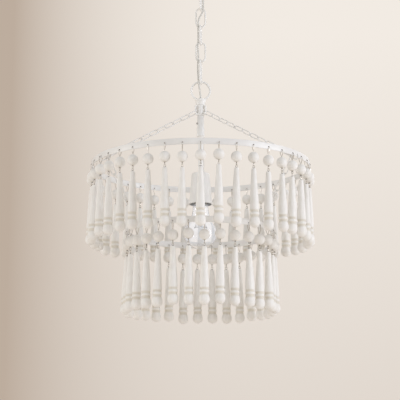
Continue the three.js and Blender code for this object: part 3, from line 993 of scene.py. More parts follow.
@dataclass
class PowerCord:
    """The cord that winds down the front of the chain, cut where a link's middle carries it."""

    diameter: float = 3.4
    route: tuple[Point, ...] = (
        (0, 0, -36.5), (0, 0, -47), (1.5, -1.6, -52), (3.6, -4.6, -58), (4.6, -5.4, -66),
        (4.8, -4.6, -76), (4.8, -4.2, -88), (4.5, -4.2, -100), (2.6, -4.4, -107),
        (-1.2, -4.6, -114), (-3.9, -4.6, -121), (-4.6, -4.4, -130), (-4.7, -4.2, -142),
        (-4.6, -4.2, -154), (-4.8, -4.5, -164), (-5.9, -5.0, -174), (-4.6, -4.9, -186),
        (-4.4, -4.6, -196), (-5.2, -4.6, -208), (-5.4, -4.6, -220), (-4.9, -4.9, -232),
        (-4.2, -5.4, -243), (-2.7, -4.6, -254), (-1.2, -2.2, -264), (-0.2, -0.4, -272),
        (0, 0, -280), (0, 0, -285),
    )
    cuts: tuple[float, ...] = (-82.0, -117.0, -151.0, -186.0, -226.0)
    hinges: tuple[float, ...] = (-65.5, -99.7, -134.3, -168.9, -203.5, -247.8)
    bodies: tuple[str, ...] = ("ceiling", "link_1", "link_2", "link_3", "link_4", "link_5", "fixture")
    bend_reach: float = 9.0

    def stretches(self) -> list[list[Vector]]:
        """Cuts the smooth route at the levels where it changes body.

        Returns:
            The middle line of each stretch; neighbours share a point.
        """
        line = smooth_path(self.route, 6)
        parts: list[list[Vector]] = [[line[0]]]
        cuts = list(self.cuts)
        for here, there in zip(line, line[1:]):
            if cuts and there.z < cuts[0]:
                share = (here.z - cuts[0]) / (here.z - there.z)
                edge = here.lerp(there, share)
                parts[-1].append(edge)
                parts.append([edge])
                cuts.pop(0)
            parts[-1].append(there)
        return parts

    def build(self) -> None:
        for i, line in enumerate(self.stretches()):
            piece = bend_wire(f"power_cord_{i + 1}", line, self.diameter, roundness=4)
            piece.data.materials.append(CLEAR_CORD.material())
            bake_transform(piece)
            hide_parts("power_cord")


# -------------------------------------------------------------- ceiling


@dataclass
class CeilingSet:
    """Crossbar, canopy, collar nut and canopy loop."""

    crossbar: Point = (104.0, 16.0, 2.5)
    slot_pitch: float = 88.9
    slot_length: float = 10.0
    slot_width: float = 4.8
    canopy_radius: float = 63.5
    canopy_floor_radius: float = 42.0
    canopy_wall: float = 1.2
    canopy_lip: float = 4.0
    body_radius: float = 13.0
    bore_radius: float = 13.4
    collar_radius: float = 17.5
    collar_height: float = 7.0
    nipple_radius: float = 4.8
    thread_pitch: float = 1.4
    ring: float = 26.0
    ring_wire: float = 4.0
    cord_bore: float = 4.6
    earth_hole: float = 3.6
    loop_neck_radius: float = 5.5
    grip_flats: int = 96  # round the collar nut, every second one sunk
    grip_edge: float = 0.18
    grip_depth: float = 0.4

    def build(self) -> None:
        """Builds the four pieces above the chain."""
        hand_over(self.make_crossbar(), ZINC_PLATE, "ceiling", ["ceiling_crossbar"])
        hand_over(self.make_canopy(), POWDER_COAT, "canopy", ["ceiling_canopy"])
        hand_over(self.make_collar(), POWDER_COAT, "collar", ["collar_nut"])
        hand_over(self.make_loop(), POWDER_COAT, "ceiling", ["canopy_loop"])

    def make_crossbar(self) -> Piece:
        """A strap with two screw slots, earth holes and a hole for the nipple.

        Returns:
            The crossbar.
        """
        length, width, thickness = self.crossbar
        middle = -thickness / 2
        strap = make_block("crossbar", self.crossbar, (0, 0, middle), 0.5)
        past = thickness
        holes = [make_pin(2 * (self.nipple_radius + SEAT), (0, 0, -2 * past), (0, 0, past), 24)]
        for side in (-1, 1):
            x = side * self.slot_pitch / 2
            size = (self.slot_length, self.slot_width, 3 * past)
            holes.append(make_block("tool", size, (x, 0, middle), 0.45 * self.slot_width))
            x = side * self.slot_pitch / 4
            holes.append(make_pin(self.earth_hole, (x, 0, -2 * past), (x, 0, past)))
        return work(strap, holes, "DIFFERENCE")

    def make_canopy(self) -> Piece:
        """A spun dish with an inward lip at the ceiling.

        Returns:
            The canopy.
        """
        floor, wall, rim = Level.CANOPY_FLOOR, self.canopy_wall, self.canopy_radius
        knee = floor / 2
        outline = [
            (self.bore_radius, floor), (self.canopy_floor_radius, floor), (rim, knee), (rim, -SEAT),
            (rim - self.canopy_lip, -SEAT), (rim - self.canopy_lip, -SEAT - wall),
            (rim - wall, -SEAT - wall), (rim - wall, knee + wall / 2),
            (self.canopy_floor_radius - wall / 2, floor + wall), (self.bore_radius, floor + wall),
        ]
        return turn("canopy", eased(outline, 5, 5, closed=True), 96, Ends.JOINED)

    def make_collar(self) -> Piece:
        """A ring nut with a slotted grip round its edge.

        Returns:
            The collar nut.
        """
        top = Level.CANOPY_FLOOR - SEAT
        bottom, bevel = top - self.collar_height, self.collar_height / 4
        outline = [
            (self.bore_radius, bottom), (self.collar_radius - bevel, bottom),
            (self.collar_radius, bottom + bevel), (self.collar_radius, top - 0.6),
            (self.collar_radius - 0.6, top), (self.bore_radius, top),
        ]
        nut = turn("collar_nut_ring", outline, self.grip_flats, Ends.JOINED)
        pick(nut)
        open_mesh("DESELECT")
        bpy.ops.object.mode_set(mode="OBJECT")
        edge = (self.collar_radius - 0.1) * MM
        for face in nut.data.polygons:
            flat = math.degrees(math.atan2(face.center.x, face.center.y)) * self.grip_flats / 360
            outer = face.center.xy.length > edge and abs(face.normal.z) < 0.2
            face.select = outer and math.floor(flat) % 2 == 0
        bpy.ops.object.mode_set(mode="EDIT")
        margin, depth = self.grip_edge * MM, -self.grip_depth * MM
        bpy.ops.mesh.inset(thickness=margin, depth=depth, use_individual=True)
        return finish_mesh(nut)

    def make_loop(self) -> Piece:
        """A threaded nipple, the body that the collar nut grips, a neck and its ring.

        Returns:
            The canopy loop.
        """
        neck = Level.CANOPY_RING + self.ring / 2 - self.ring_wire
        body_top = Level.CANOPY_FLOOR + self.canopy_wall + 7
        body_bottom = Level.CANOPY_FLOOR - SEAT - self.collar_height - 2
        shape = [
            (self.loop_neck_radius, neck - 1.2), (self.loop_neck_radius, neck + self.ring_wire),
            (self.body_radius - 3, body_bottom - 1.5), (self.body_radius, body_bottom + 1.5),
            (self.body_radius, body_top), (self.nipple_radius, body_top),
        ]
        outline = eased(shape, 1.6, 4)
        ridges = int(-body_top / self.thread_pitch)
        for k in range(ridges):
            low = body_top + k * self.thread_pitch
            outline.append((self.nipple_radius, low + 0.5 * self.thread_pitch))
            outline.append((self.nipple_radius - 0.5, low + self.thread_pitch))
        outline.append((self.nipple_radius - 0.4, 0))
        loop = turn("canopy_loop_body", outline, 48)
        ring = bend_link("ring", self.ring, self.ring, self.ring_wire, 16, 20)
        place(ring, shift(0, 0, Level.CANOPY_RING))
        work(loop, [ring], "UNION")
        return work(loop, [make_pin(self.cord_bore, (0, 0, neck - 6), (0, 0, 3), 20)], "DIFFERENCE")


# ---------------------------------------------------------------- chain


@dataclass
class SuspensionChain:
    """Four plain links and the longer hook link, each turned a quarter from the one above."""

    length: float = 41.3
    hook_length: float = 51.0
    width: float = 21.0
    wire: float = 3.2
    plain: int = 4
    lean: float = -7.0  # in degrees, how far the links that are seen edge on stand off square
    seam_rise: float = 0.16
    seam_length: float = 2.6

    def build(self) -> None:
        """Bends the links and hangs them one under the other."""
        pitch = self.length - 2 * self.wire - SEAT
        for i in range(self.plain + 1):
            length = self.hook_length if i == self.plain else self.length
            link = bend_link(f"suspension_link_{i + 1}", length, self.width, self.wire, 14, 14)
            work(link, [self.make_seam()], "UNION")
            middle = Level.FIRST_LINK - i * pitch - length / 2
            quarter = 90 + self.lean if i % 2 == 0 else 0
            place(link, shift(0, 0, middle) @ spun(quarter))
            hand_over(link, PAINTED_LIGHT_COAT, f"link_{i + 1}", [f"chain_link_{i + 1}"])

    def make_seam(self) -> Piece:
        """The small bulge where a link's two ends are welded, in the middle of one side.

        Returns:
            The bulge, in place on an upright link at the origin.
        """
        radius, end = self.wire / 2, self.seam_length / 2
        crown = radius + self.seam_rise
        outline = [(radius * 0.8, -end), (crown, -0.6), (crown, 0.6), (radius * 0.8, end)]
        seam = turn("seam", outline, 14)
        return place(seam, shift((self.width - self.wire) / 2, 0, 0))


# ----------------------------------------------------------------- head


@dataclass
class FixtureHead:
    """The loop with its base, the chain hub, and the stem down to the socket cup."""

    ring: float = 40.0
    ring_wire: float = 4.0
    base_top_radius: float = 10.25
    base_bottom_radius: float = 7.75
    cord_bore: float = 4.6
    pipe_radius: float = 5.0
    pipe_bore: float = 3.0
    neck_radius: float = 6.5
    coupling_radius: float = 7.5
    hub_radius: float = 6.7
    hub_height: float = 21.4
    eye_reach: float = 12.4
    eye_bar: float = 2.0
    eye_slot: float = 3.7
    eye_thickness: float = 2.8
    # a dark sheet in each slot: painted shade for the deep slot, not a real part
    shade_sheet_width: float = 2.0
    shade_sheet_height: float = 9.6
    shade_sheet_drop: float = 3.2  # from the hub's top
    shade_sheet_sunk: float = 0.4  # into the eye's bar

    def build(self) -> None:
        """Builds the head from its ring down."""
        hand_over(self.make_loop(), PAINTED_LIGHT_COAT, "fixture", ["fixture_loop"])
        hand_over(self.make_hub(), PAINTED_LIGHT_COAT, "fixture", ["chain_hub"])
        hand_over(self.make_stem(), PAINTED_LIGHT_COAT, "fixture", ["centre_stem"])
        hand_over(self.make_set_screw(), ZINC_PLATE, "fixture")

    def make_loop(self) -> Piece:
        """A ring on a flared base, bored for the cord and for the pipe.

        Returns:
            The fixture loop.
        """
        top, bottom = Level.LOOP_BASE_TOP, Level.LOOP_BASE
        outline = [
            (self.base_bottom_radius, bottom), (self.base_bottom_radius + 0.5, bottom + 2.6),
            (self.base_top_radius - 0.4, top - 3.8), (self.base_top_radius, top - 2.8),
            (self.base_top_radius, top - 1.6), (self.base_bottom_radius, top),
            (self.base_bottom_radius - 3, top),
        ]
        loop = turn("fixture_loop_base", eased(outline, 1.4, 4), 56)
        ring = bend_link("ring", self.ring, self.ring, self.ring_wire, 16, 26)
        place(ring, shift(0, 0, Level.FIXTURE_RING))
        work(loop, [ring], "UNION")
        bore = make_pin(self.cord_bore, (0, 0, bottom - 3), (0, 0, top + 3), 20)
        work(loop, [bore], "DIFFERENCE")
        socket = make_pin(2 * (self.pipe_radius + SEAT), (0, 0, bottom - 3), (0, 0, bottom + 4.3), 32)
        return work(loop, [socket], "DIFFERENCE")

    def make_hub(self) -> Piece:
        """A sleeve with three slotted eyes that the arm chains hang in.

        Returns:
            The hub with the dark sheets of painted shade in its slots.
        """
        top, bottom = Level.HUB, Level.HUB - self.hub_height
        bore = self.pipe_radius + SEAT
        outline = plain_ring(bore, self.hub_radius, bottom, top)
        hub = turn("chain_hub_sleeve", eased(outline, 0.25, 3, closed=True), 48, Ends.JOINED)
        root = (bore + self.hub_radius) / 2
        middle = (top + bottom) / 2
        for angle in ARM_ANGLES:
            size = (self.eye_thickness, self.eye_reach - root, self.hub_height - 2.6)
            eye = make_block("eye", size, (0, -(self.eye_reach + root) / 2, middle), 0.9)
            slot_size = (3 * self.eye_thickness, self.eye_slot, self.hub_height - 7.3)
            spot = (0, self.eye_slot / 2 - self.eye_reach + self.eye_bar, middle)
            work(eye, [make_block("tool", slot_size, spot, 1.4)], "DIFFERENCE")
            work(hub, [place(eye, spun(angle))], "UNION")
        # dark sheets in the slots: painted shade
        shade_sheets = [self.make_shade_sheet(angle, top) for angle in ARM_ANGLES]
        mark(hub, "bare_and_shade", lambda spot: 0.0)
        return join_pieces("chain_hub_sleeve", [hub, *shade_sheets])

    def make_shade_sheet(self, angle: float, top: float) -> Piece:
        """A thin dark sheet that half closes a slot above the link that hangs in it: painted shade for the
        deep slot.

        Args:
            angle: Angle of the sheet's eye round the hub.
            top: Level of the hub's top.

        Returns:
            The sheet.
        """
        size = (0.6, self.shade_sheet_width, self.shade_sheet_height)
        out = self.eye_bar - self.eye_reach + self.shade_sheet_width / 2 - self.shade_sheet_sunk
        spot = (0, out, top - self.shade_sheet_drop - self.shade_sheet_height / 2)
        shade_sheet = make_block("shade_sheet", size, spot, 0.1)
        # the whole sheet is painted shade
        mark(shade_sheet, "bare_and_shade", lambda corner: 1.0)
        return place(shade_sheet, spun(angle))

    def make_stem(self) -> Piece:
        """A pipe with a neck sleeve and a coupling, open from end to end for the cord.

        Returns:
            The stem.
        """
        pipe, neck, coupling = self.pipe_radius, self.neck_radius, self.coupling_radius
        end = Level.CUP - 4.2
        outline = [
            (self.pipe_bore, end), (pipe, end), (pipe, Level.BARE_PIPE),
            (coupling, Level.BARE_PIPE), (coupling, Level.BARE_PIPE + 5.4),
            (coupling - 0.5, Level.BARE_PIPE + 5.9), (coupling - 0.5, Level.COUPLING - 5.9),
            (coupling, Level.COUPLING - 5.4), (coupling, Level.COUPLING), (neck, Level.COUPLING),
            (neck, Level.NECK), (pipe, Level.NECK), (pipe, Level.LOOP_BASE + 4),
            (self.pipe_bore, Level.LOOP_BASE + 4),
        ]
        return turn("centre_stem_pipe", eased(outline, 0.35, 3, closed=True), 48, Ends.JOINED)

    def make_set_screw(self) -> Piece:
        """A slotted grub screw in the left of the neck.

        Returns:
            The screw, in place.
        """
        outline = [(1.9, -2.0), (1.9, 1.4), (1.5, 1.8), (0.3, 1.8)]
        screw = turn("neck_set_screw", outline, 20)
        work(screw, [make_block("tool", (0.6, 5, 1.2), (0, 0, 1.9), 0.05)], "DIFFERENCE")
        seat = shift(0, -self.neck_radius, (Level.NECK + Level.COUPLING) / 2 - 3)
        return place(screw, spun(-64) @ seat @ spun(90, "X") @ spun(20))


# ----------------------------------------------------------------- lamp


@dataclass
class LampSocket:
    """The painted cup and the black lampholder in it."""

    cup_top_radius: float = 17.0
    cup_rim_radius: float = 22.0
    cup_wall: float = 1.2
    pipe_hole: float = 5.3
    holder_radius: float = 15.0
    holder_bore: float = 13.6
    holder_top: float = -425.4
    holder_bottom: float = -477.4
    holder_roof: float = -460.1

    def build(self) -> None:
        """Builds the cup and the lampholder."""
        hand_over(self.make_cup(), PAINTED_LIGHT_COAT, "fixture", ["socket_cup"])
        hand_over(self.make_holder(), PHENOLIC, "fixture", ["lampholder"])

    def make_cup(self) -> Piece:
        """A drawn cup, wider at its rim.

        Returns:
            The cup.
        """
        rim, top, wall = self.cup_rim_radius, self.cup_top_radius, self.cup_wall
        outline = [
            (rim - wall, Level.CUP_RIM), (rim, Level.CUP_RIM), (rim - 0.1, Level.CUP_RIM + 2.0),
            (top, Level.CUP - 1.4), (top - 1.4, Level.CUP), (self.pipe_hole, Level.CUP),
            (self.pipe_hole, Level.CUP - wall), (top - wall - 0.8, Level.CUP - wall),
            (top - wall, Level.CUP - wall - 1.2),
        ]
        return turn("socket_cup_shell", eased(outline, 1.0, 4, closed=True), 64, Ends.JOINED)

    def make_holder(self) -> Piece:
        """A moulded body with grip rings near its mouth.

        Returns:
            The lampholder.
        """
        outside, bore = self.holder_radius, self.holder_bore
        outline = [(1.0, self.holder_roof), (bore, self.holder_roof), (bore, self.holder_bottom)]
        outline += [(outside - 0.4, self.holder_bottom), (outside, self.holder_bottom + 0.5)]
        for k in range(6):
            low = self.holder_bottom + 3 + 2.4 * k
            outline += [(outside, low), (outside - 0.5, low + 0.6), (outside, low + 1.2)]
        outline += [
            (outside, self.holder_top - 0.6), (outside - 0.6, self.holder_top),
            (self.pipe_hole, self.holder_top), (self.pipe_hole, self.holder_top - 3),
            (1.0, self.holder_top - 3),
        ]
        return turn("lampholder_body", outline, 48)


@dataclass
class Bulb:
    """A clear household bulb: cap, glass, its inner stem and a filament on wires."""

    globe_radius: float = 30.0
    neck_radius: float = 14.5
    wall: float = 0.5
    cap_radius: float = 13.0
    cap_top: float = -460.4
    thread_pitch: float = 3.63
    filament_level: float = -528.0
    filament_radius: float = 11.5

    def build(self) -> None:
        """Builds the bulb from its cap down."""
        hand_over(self.make_cap(), CAP_METAL, "bulb", ["bulb_cap"])
        hand_over(self.make_glass(), BLOWN_GLASS, "bulb", ["bulb_glass"])
        hand_over(self.make_stem(), BLOWN_GLASS, "bulb")
        hand_over(self.make_wires(), CAP_METAL, "bulb")
        hand_over(self.make_filament(), TUNGSTEN, "bulb")

    def make_cap(self) -> Piece:
        """A rolled screw cap with its contact.

        Returns:
            The cap.
        """
        bottom = Level.CUP_RIM + SEAT
        outline = [(self.cap_radius - 0.8, bottom), (self.cap_radius, bottom + 0.4)]
        for k in range(4):
            low = bottom + 1.6 + self.thread_pitch * k
            outline.append((self.cap_radius - 0.1, low))
            outline.append((self.cap_radius - 0.9, low + 0.3 * self.thread_pitch))
            outline.append((self.cap_radius - 0.9, low + 0.5 * self.thread_pitch))
            outline.append((self.cap_radius - 0.1, low + 0.8 * self.thread_pitch))
        outline += [
            (self.cap_radius - 0.6, self.cap_top - 6), (6.0, self.cap_top - 1.6),
            (5.4, self.cap_top - 0.6), (3.0, self.cap_top), (0.5, self.cap_top),
        ]
        return turn("bulb_screw_cap", outline, 40)

    def make_glass(self) -> Piece:
        """The blown envelope, as thick as its wall and open where the cap closes it.

        Returns:
            The envelope.
        """
        centre = Level.BULB_BOTTOM + self.globe_radius
        outline = arc(self.globe_radius, self.globe_radius, centre, range(-88, 37, 8))
        neck = self.neck_radius
        outline += [
            (22.0, -517.6), (19.4, -512.0), (17.2, -506.0), (15.6, -499.5), (neck + 0.2, -493.5),
            (neck, -488.5), (neck, Level.CUP_RIM),
        ]
        glass = turn("bulb_envelope", outline, 64, Ends.OPEN)
        modify(glass, "SOLIDIFY", thickness=self.wall * MM, offset=-1)
        bpy.ops.object.shade_smooth_by_angle(angle=GLASS_SMOOTH_ANGLE)
        return glass

    def make_stem(self) -> Piece:
        """The flared inner stem that ends in a button.

        Returns:
            The inner stem.
        """
        outline = [
            (10.5, Level.CUP_RIM - 1.2), (8.0, Level.CUP_RIM - 4), (5.0, Level.CUP_RIM - 9),
            (3.6, Level.CUP_RIM - 15), (2.0, Level.CUP_RIM - 20), (1.8, Level.CUP_RIM - 31),
            (2.8, Level.CUP_RIM - 33.5), (2.4, Level.CUP_RIM - 35.5), (0.6, Level.CUP_RIM - 36.5),
        ]
        return turn("bulb_inner_stem", eased(outline, 3, 4), 28)

    def make_wires(self) -> Piece:
        """Two lead wires and three supports out of the button.

        Returns:
            All five wires as one piece.
        """
        wires = []
        for side in (-1, 1):
            path = [
                (side * 4.4, 0, Level.CUP_RIM - 12), (side * 5.2, 0, Level.CUP_RIM - 22),
                (side * 8.6, 1.0, -520), (side * self.filament_radius, 2.4, self.filament_level),
            ]
            wires.append(bend_wire("lead", smooth_path(path, 6), 0.7))
        button = Level.CUP_RIM - 34.5
        for degrees in (-58, 0, 58):
            out = Vector((math.sin(math.radians(degrees)), -math.cos(math.radians(degrees)), 0))
            path = [
                out * 1.6 + Vector((0, 0, button)),
                out * 6.5 + Vector((0, 0, button - 3.5)),
                out * (self.filament_radius - 0.2) + Vector((0, 0, self.filament_level + 0.6)),
            ]
            wires.append(bend_wire("support", smooth_path(path, 5), 0.5))
        return join_pieces("bulb_wires", wires)

    def make_filament(self) -> Piece:
        """A coiled filament, hung in an arc round the front of the button.

        Returns:
            The filament.
        """
        turns, steps = 46, 6
        coil = 0.75
        path = []
        for k in range(turns * steps + 1):
            share = k / (turns * steps)
            arc = math.radians(-100 + 200 * share)
            twist = 2 * math.pi * share * turns
            reach = self.filament_radius + coil * math.cos(twist)
            sag = 0.9 * math.sin(math.pi * ((share * 4) % 1))
            level = self.filament_level + coil * math.sin(twist) - sag
            path.append((reach * math.sin(arc), -reach * math.cos(arc), level))
        return bend_wire("bulb_filament", path, 0.3, roundness=0)


# --------------------------------------------------------------- strands


@dataclass
class Strand:
    """One drop, hung with its hole at the origin: wires, a bead and a turned spindle."""

    wire: float = 1.15
    eye_width: float = 4.4
    eye_wire: float = 0.95
    bead_radius: float = 10.0
    bead_top: float = -14.8
    bead_bore: float = 1.0
    spindle_top: float = -43.6
    spindle_end: float = -149.6
    shaft_radius: float = 8.2
    shaft_end: float = -118.4
    groove_radius: float = 7.2
    groove_width: float = 4.1
    ring_radius: float = 8.5
    ring_width: float = 4.2
    ball_radius: float = 9.7

    def make_wires(self) -> Piece:
        """The hook through the hoop, its shank through the bead, and two linked eyes below it.

        Returns:
            The wires as one piece, marked with painted shade where they go into the hoop, the bead and the
            spindle.
        """
        bead_bottom = self.bead_top - 2 * self.bead_radius
        hook = [
            (0, 0.3, self.bead_top - 0.6), (0, 0.7, -12.8), (0, 2.4, -8.6), (0, 3.4, -4.4),
            (0, 3.1, -1.4), (0, 1.7, 0.1), (0, -1.3, 0.2), (0, -2.6, -1.1), (0, -3.0, -3.8),
            (0, -2.3, -8.4), (0, -0.6, -13.0), (0, 0, -16.0), (0, 0, bead_bottom + 2),
            (0, 0, bead_bottom - 0.3),
        ]
        shank = bend_wire("hook", smooth_path(hook, 3), self.wire)
        upper = bend_link("eye", 5.3, self.eye_width, self.eye_wire, 6, 6)
        place(upper, shift(0, 0, bead_bottom - 2.7) @ spun(90))
        lower = bend_link("eye", 5.45, self.eye_width, self.eye_wire, 6, 6)
        place(lower, shift(0, 0, self.spindle_top + 2.68))
        screw = bend_wire("screw", [(0, 0, self.spindle_top + 0.5), (0, 0, self.spindle_top - 3)], 1.3)
        wires = join_pieces("strand_wires", [shank, upper, lower, screw])
        # painted shade where the wires go into the hoop's hole, the bead's bore and the spindle's top
        ends = (0.2, bead_bottom - 0.8, self.spindle_top + 0.8)
        mark(wires, "wear_and_shade", lambda spot: max(0.0, 1.0 - min(abs(spot.z - end) for end in ends) / 1.3))
        return wires

    def make_bead(self) -> Piece:
        """A turned bead, drilled through.

        Returns:
            The bead, with the attribute `groove`.
        """
        middle = self.bead_top - self.bead_radius
        outline: Outline = [(self.bead_bore, middle - self.bead_radius + 0.9)]
        outline += arc(self.bead_radius - 0.1, self.bead_radius, middle, range(-80, 81, 16))
        outline.append((self.bead_bore, middle + self.bead_radius - 0.9))
        bead = turn("strand_bead", outline, 28, Ends.JOINED)
        # the bore gets the groove tone: partly wood under thinner paint, partly painted shade in the hole
        bore = self.bead_bore + 0.9
        mark(bead, "groove", lambda spot: 1.0 if math.hypot(spot.x, spot.y) < bore else 0.0)
        return bead

    def make_spindle(self) -> Piece:
        """A long taper, a ring between two grooves, and an egg-shaped ball.

        Returns:
            The spindle, with the attribute `groove`.
        """
        top, centre = self.spindle_top, self.spindle_end + self.ball_radius
        first = self.shaft_end
        ring_top = first - self.groove_width
        ring_bottom = ring_top - self.ring_width
        last = ring_bottom - self.groove_width
        groove, ring = self.groove_radius, self.ring_radius
        outline = arc(self.ball_radius, self.ball_radius, centre, range(-80, 1, 16))
        shoulder = math.acos((groove + 0.5) / self.ball_radius)
        for share in (0.35, 0.7, 1.0):
            angle = shoulder * share
            rise = (last - centre) * math.sin(angle) / math.sin(shoulder)
            outline.append((self.ball_radius * math.cos(angle), centre + rise))
        outline += [
            (groove + 0.05, last + 0.9), (groove, last + 2.2), (groove + 0.35, ring_bottom - 0.8),
            (ring - 0.35, ring_bottom + 0.4), (ring, ring_bottom + 1.5), (ring, ring_top - 1.4),
            (ring - 0.4, ring_top - 0.4), (groove + 0.3, ring_top + 0.8), (groove, ring_top + 2.0),
            (groove + 0.15, first - 1.2), (self.shaft_radius - 0.3, first + 0.1),
            (self.shaft_radius, first + 1.6), (self.shaft_radius - 0.12, first + 9), (7.45, -98.0),
            (6.6, -83.0), (5.75, -68.0), (5.0, -55.0), (4.5, top - 3.2), (4.2, top - 1.2),
            (3.3, top - 0.2), (0.8, top),
        ]
        spindle = turn("strand_spindle", outline, 26)
        # the grooves get a warmer tone: partly thinner paint, partly painted shade
        mark(spindle, "groove", self.groove_depth)
        return spindle

    def groove_depth(self, spot: Vector) -> float:
        """How deep a place of the spindle lies in one of its two grooves, from 0 to 1.

        Args:
            spot: A place on the spindle, in millimetres.

        Returns:
            The depth.
        """
        depth = (self.groove_radius + 1.1 - math.hypot(spot.x, spot.y)) / 0.7
        low = self.shaft_end - 2 * self.groove_width - self.ring_width
        inside = low - 0.2 < spot.z < self.shaft_end + 0.2
        return max(0.0, min(1.0, depth)) if inside else 0.0


# From where to where the hook above the bead, and the eyes below it, are bent longer
STRETCHED = ((-4.0, -13.0), (-34.8, -43.6))


def lengthen(piece: Piece, lower: tuple[float, float]) -> None:
    """Hangs a piece of a strand lower, with the hook and the eyes bent longer to match.

    Args:
        piece: The piece, with the strand's hole at the origin.
        lower: How much longer the hook is, and how much longer the eyes below the bead are.
    """
    for corner in piece.data.vertices:
        for (start, end), more in zip(STRETCHED, lower):
            share = (start - corner.co.z / MM) / (start - end)
            corner.co.z -= max(0.0, min(1.0, share)) * more * MM


class Tier(Enum):
    """The two hoops: name, level, radius, count of strands and angle of the first one."""

    UPPER = ("upper", Level.UPPER_HOOP, 205.5, 40, 0.0)
    LOWER = ("lower", Level.LOWER_HOOP, 138.0, 30, 2.8)

    def __init__(self, label: str, level: float, radius: float, strands: int, first: float) -> None:
        """Names the values of a tier.

        Args:
            label: The tier's name.
            level: Height of its holes.
            radius: Radius of its hoop.
            strands: How many strands it holds.
            first: Angle of the first strand.
        """
        self.label = label
        self.level = level
        self.radius = radius
        self.strands = strands
        self.first = first


# How much longer the hook and the eyes of the strands in front are than drawn
FRONT_STRANDS = {
    36: (-1.3, 1.7), 37: (0.9, 0.9), 38: (-0.4, 0.8), 39: (1.3, 0.4), 0: (-1.3, 2.6),
    1: (-3.1, -0.4), 2: (-0.4, 1.3), 3: (-1.7, 1.7), 4: (-0.4, 2.0), 5: (-1.3, 2.6), 6: (-1.3, 1.7),
}


@dataclass
class HoopTier:
    """A flat hoop with its ring of strands."""

    tier: Tier
    masters: dict[str, Piece]
    band_height: float = 11.3
    band_thickness: float = 2.0
    band_rise: float = 1.6  # from the holes up to the middle of the band
    strand_hole: float = 3.0
    chain_hole: float = 4.2
    sway: float = 0.55  # in degrees, how far a strand hangs off plumb
    sway_limits: tuple[float, float] = (1.2, 0.4)  # in or out, and sideways, where the next one hangs
    slack: tuple[float, float] = (0.0, 0.0)  # how much longer the hooks and the eyes are bent
    uneven: float = 0.9  # spread of that from strand to strand
    front: dict[int, tuple[float, float]] = field(default_factory=dict)  # the same for single strands
    chance: random.Random = field(default_factory=lambda: random.Random(11))

    def build(self) -> None:
        """Builds the hoop and hangs its strands."""
        label = self.tier.label
        hand_over(self.make_hoop(), POWDER_COAT, "fixture", [f"{label}_hoop"])
        step = 360 / self.tier.strands
        for k in range(self.tier.strands):
            sway = [max(-most, min(most, self.chance.gauss(0, self.sway))) for most in self.sway_limits]
            hang = shift(0, -self.tier.radius, self.tier.level)
            uneven = [more + self.chance.gauss(0, self.uneven) for more in self.slack]
            lower = self.front.get(k, uneven)
            matrix = spun(self.tier.first + k * step) @ hang @ spun(sway[0], "X") @ spun(sway[1], "Y")
            pair = f"{k // 2 + 1:02d}"
            body, node = f"{label}_pair_{pair}", f"{label}_strands_{pair}"
            for part, finish in STRAND_LOOKS.items():
                yaw = spun(self.chance.uniform(0, 360)) if part != "wires" else Matrix.Identity(4)
                piece = copy_piece(self.masters[part], f"{label}_{part}_{k + 1:02d}", yaw)
                lengthen(piece, lower)
                place(piece, matrix)
                hand_over(piece, finish, body, [node])

    def make_hoop(self) -> Piece:
        """A rolled flat band, punched for the strands and the chains.

        Returns:
            The hoop.
        """
        half, reach = self.band_height / 2, self.band_thickness / 2
        radius, level = self.tier.radius, self.tier.level
        low, high = level + self.band_rise - half, level + self.band_rise + half
        outline = plain_ring(radius - reach, radius + reach, low, high)
        hoop = turn(f"{self.tier.label}_hoop_band", eased(outline, 0.45, 3, closed=True), 200, Ends.JOINED)
        step = 360 / self.tier.strands
        holes = [(self.chain_hole, angle) for angle in ARM_ANGLES]
        holes += [(self.strand_hole, self.tier.first + k * step) for k in range(self.tier.strands)]
        punches = []
        for width, angle in holes:
            punch = make_pin(width, (0, -radius - 4, level), (0, -radius + 4, level), 14)
            punches.append(place(punch, spun(angle)))
        return work(hoop, punches, "DIFFERENCE")


# ---------------------------------------------------------- small chains


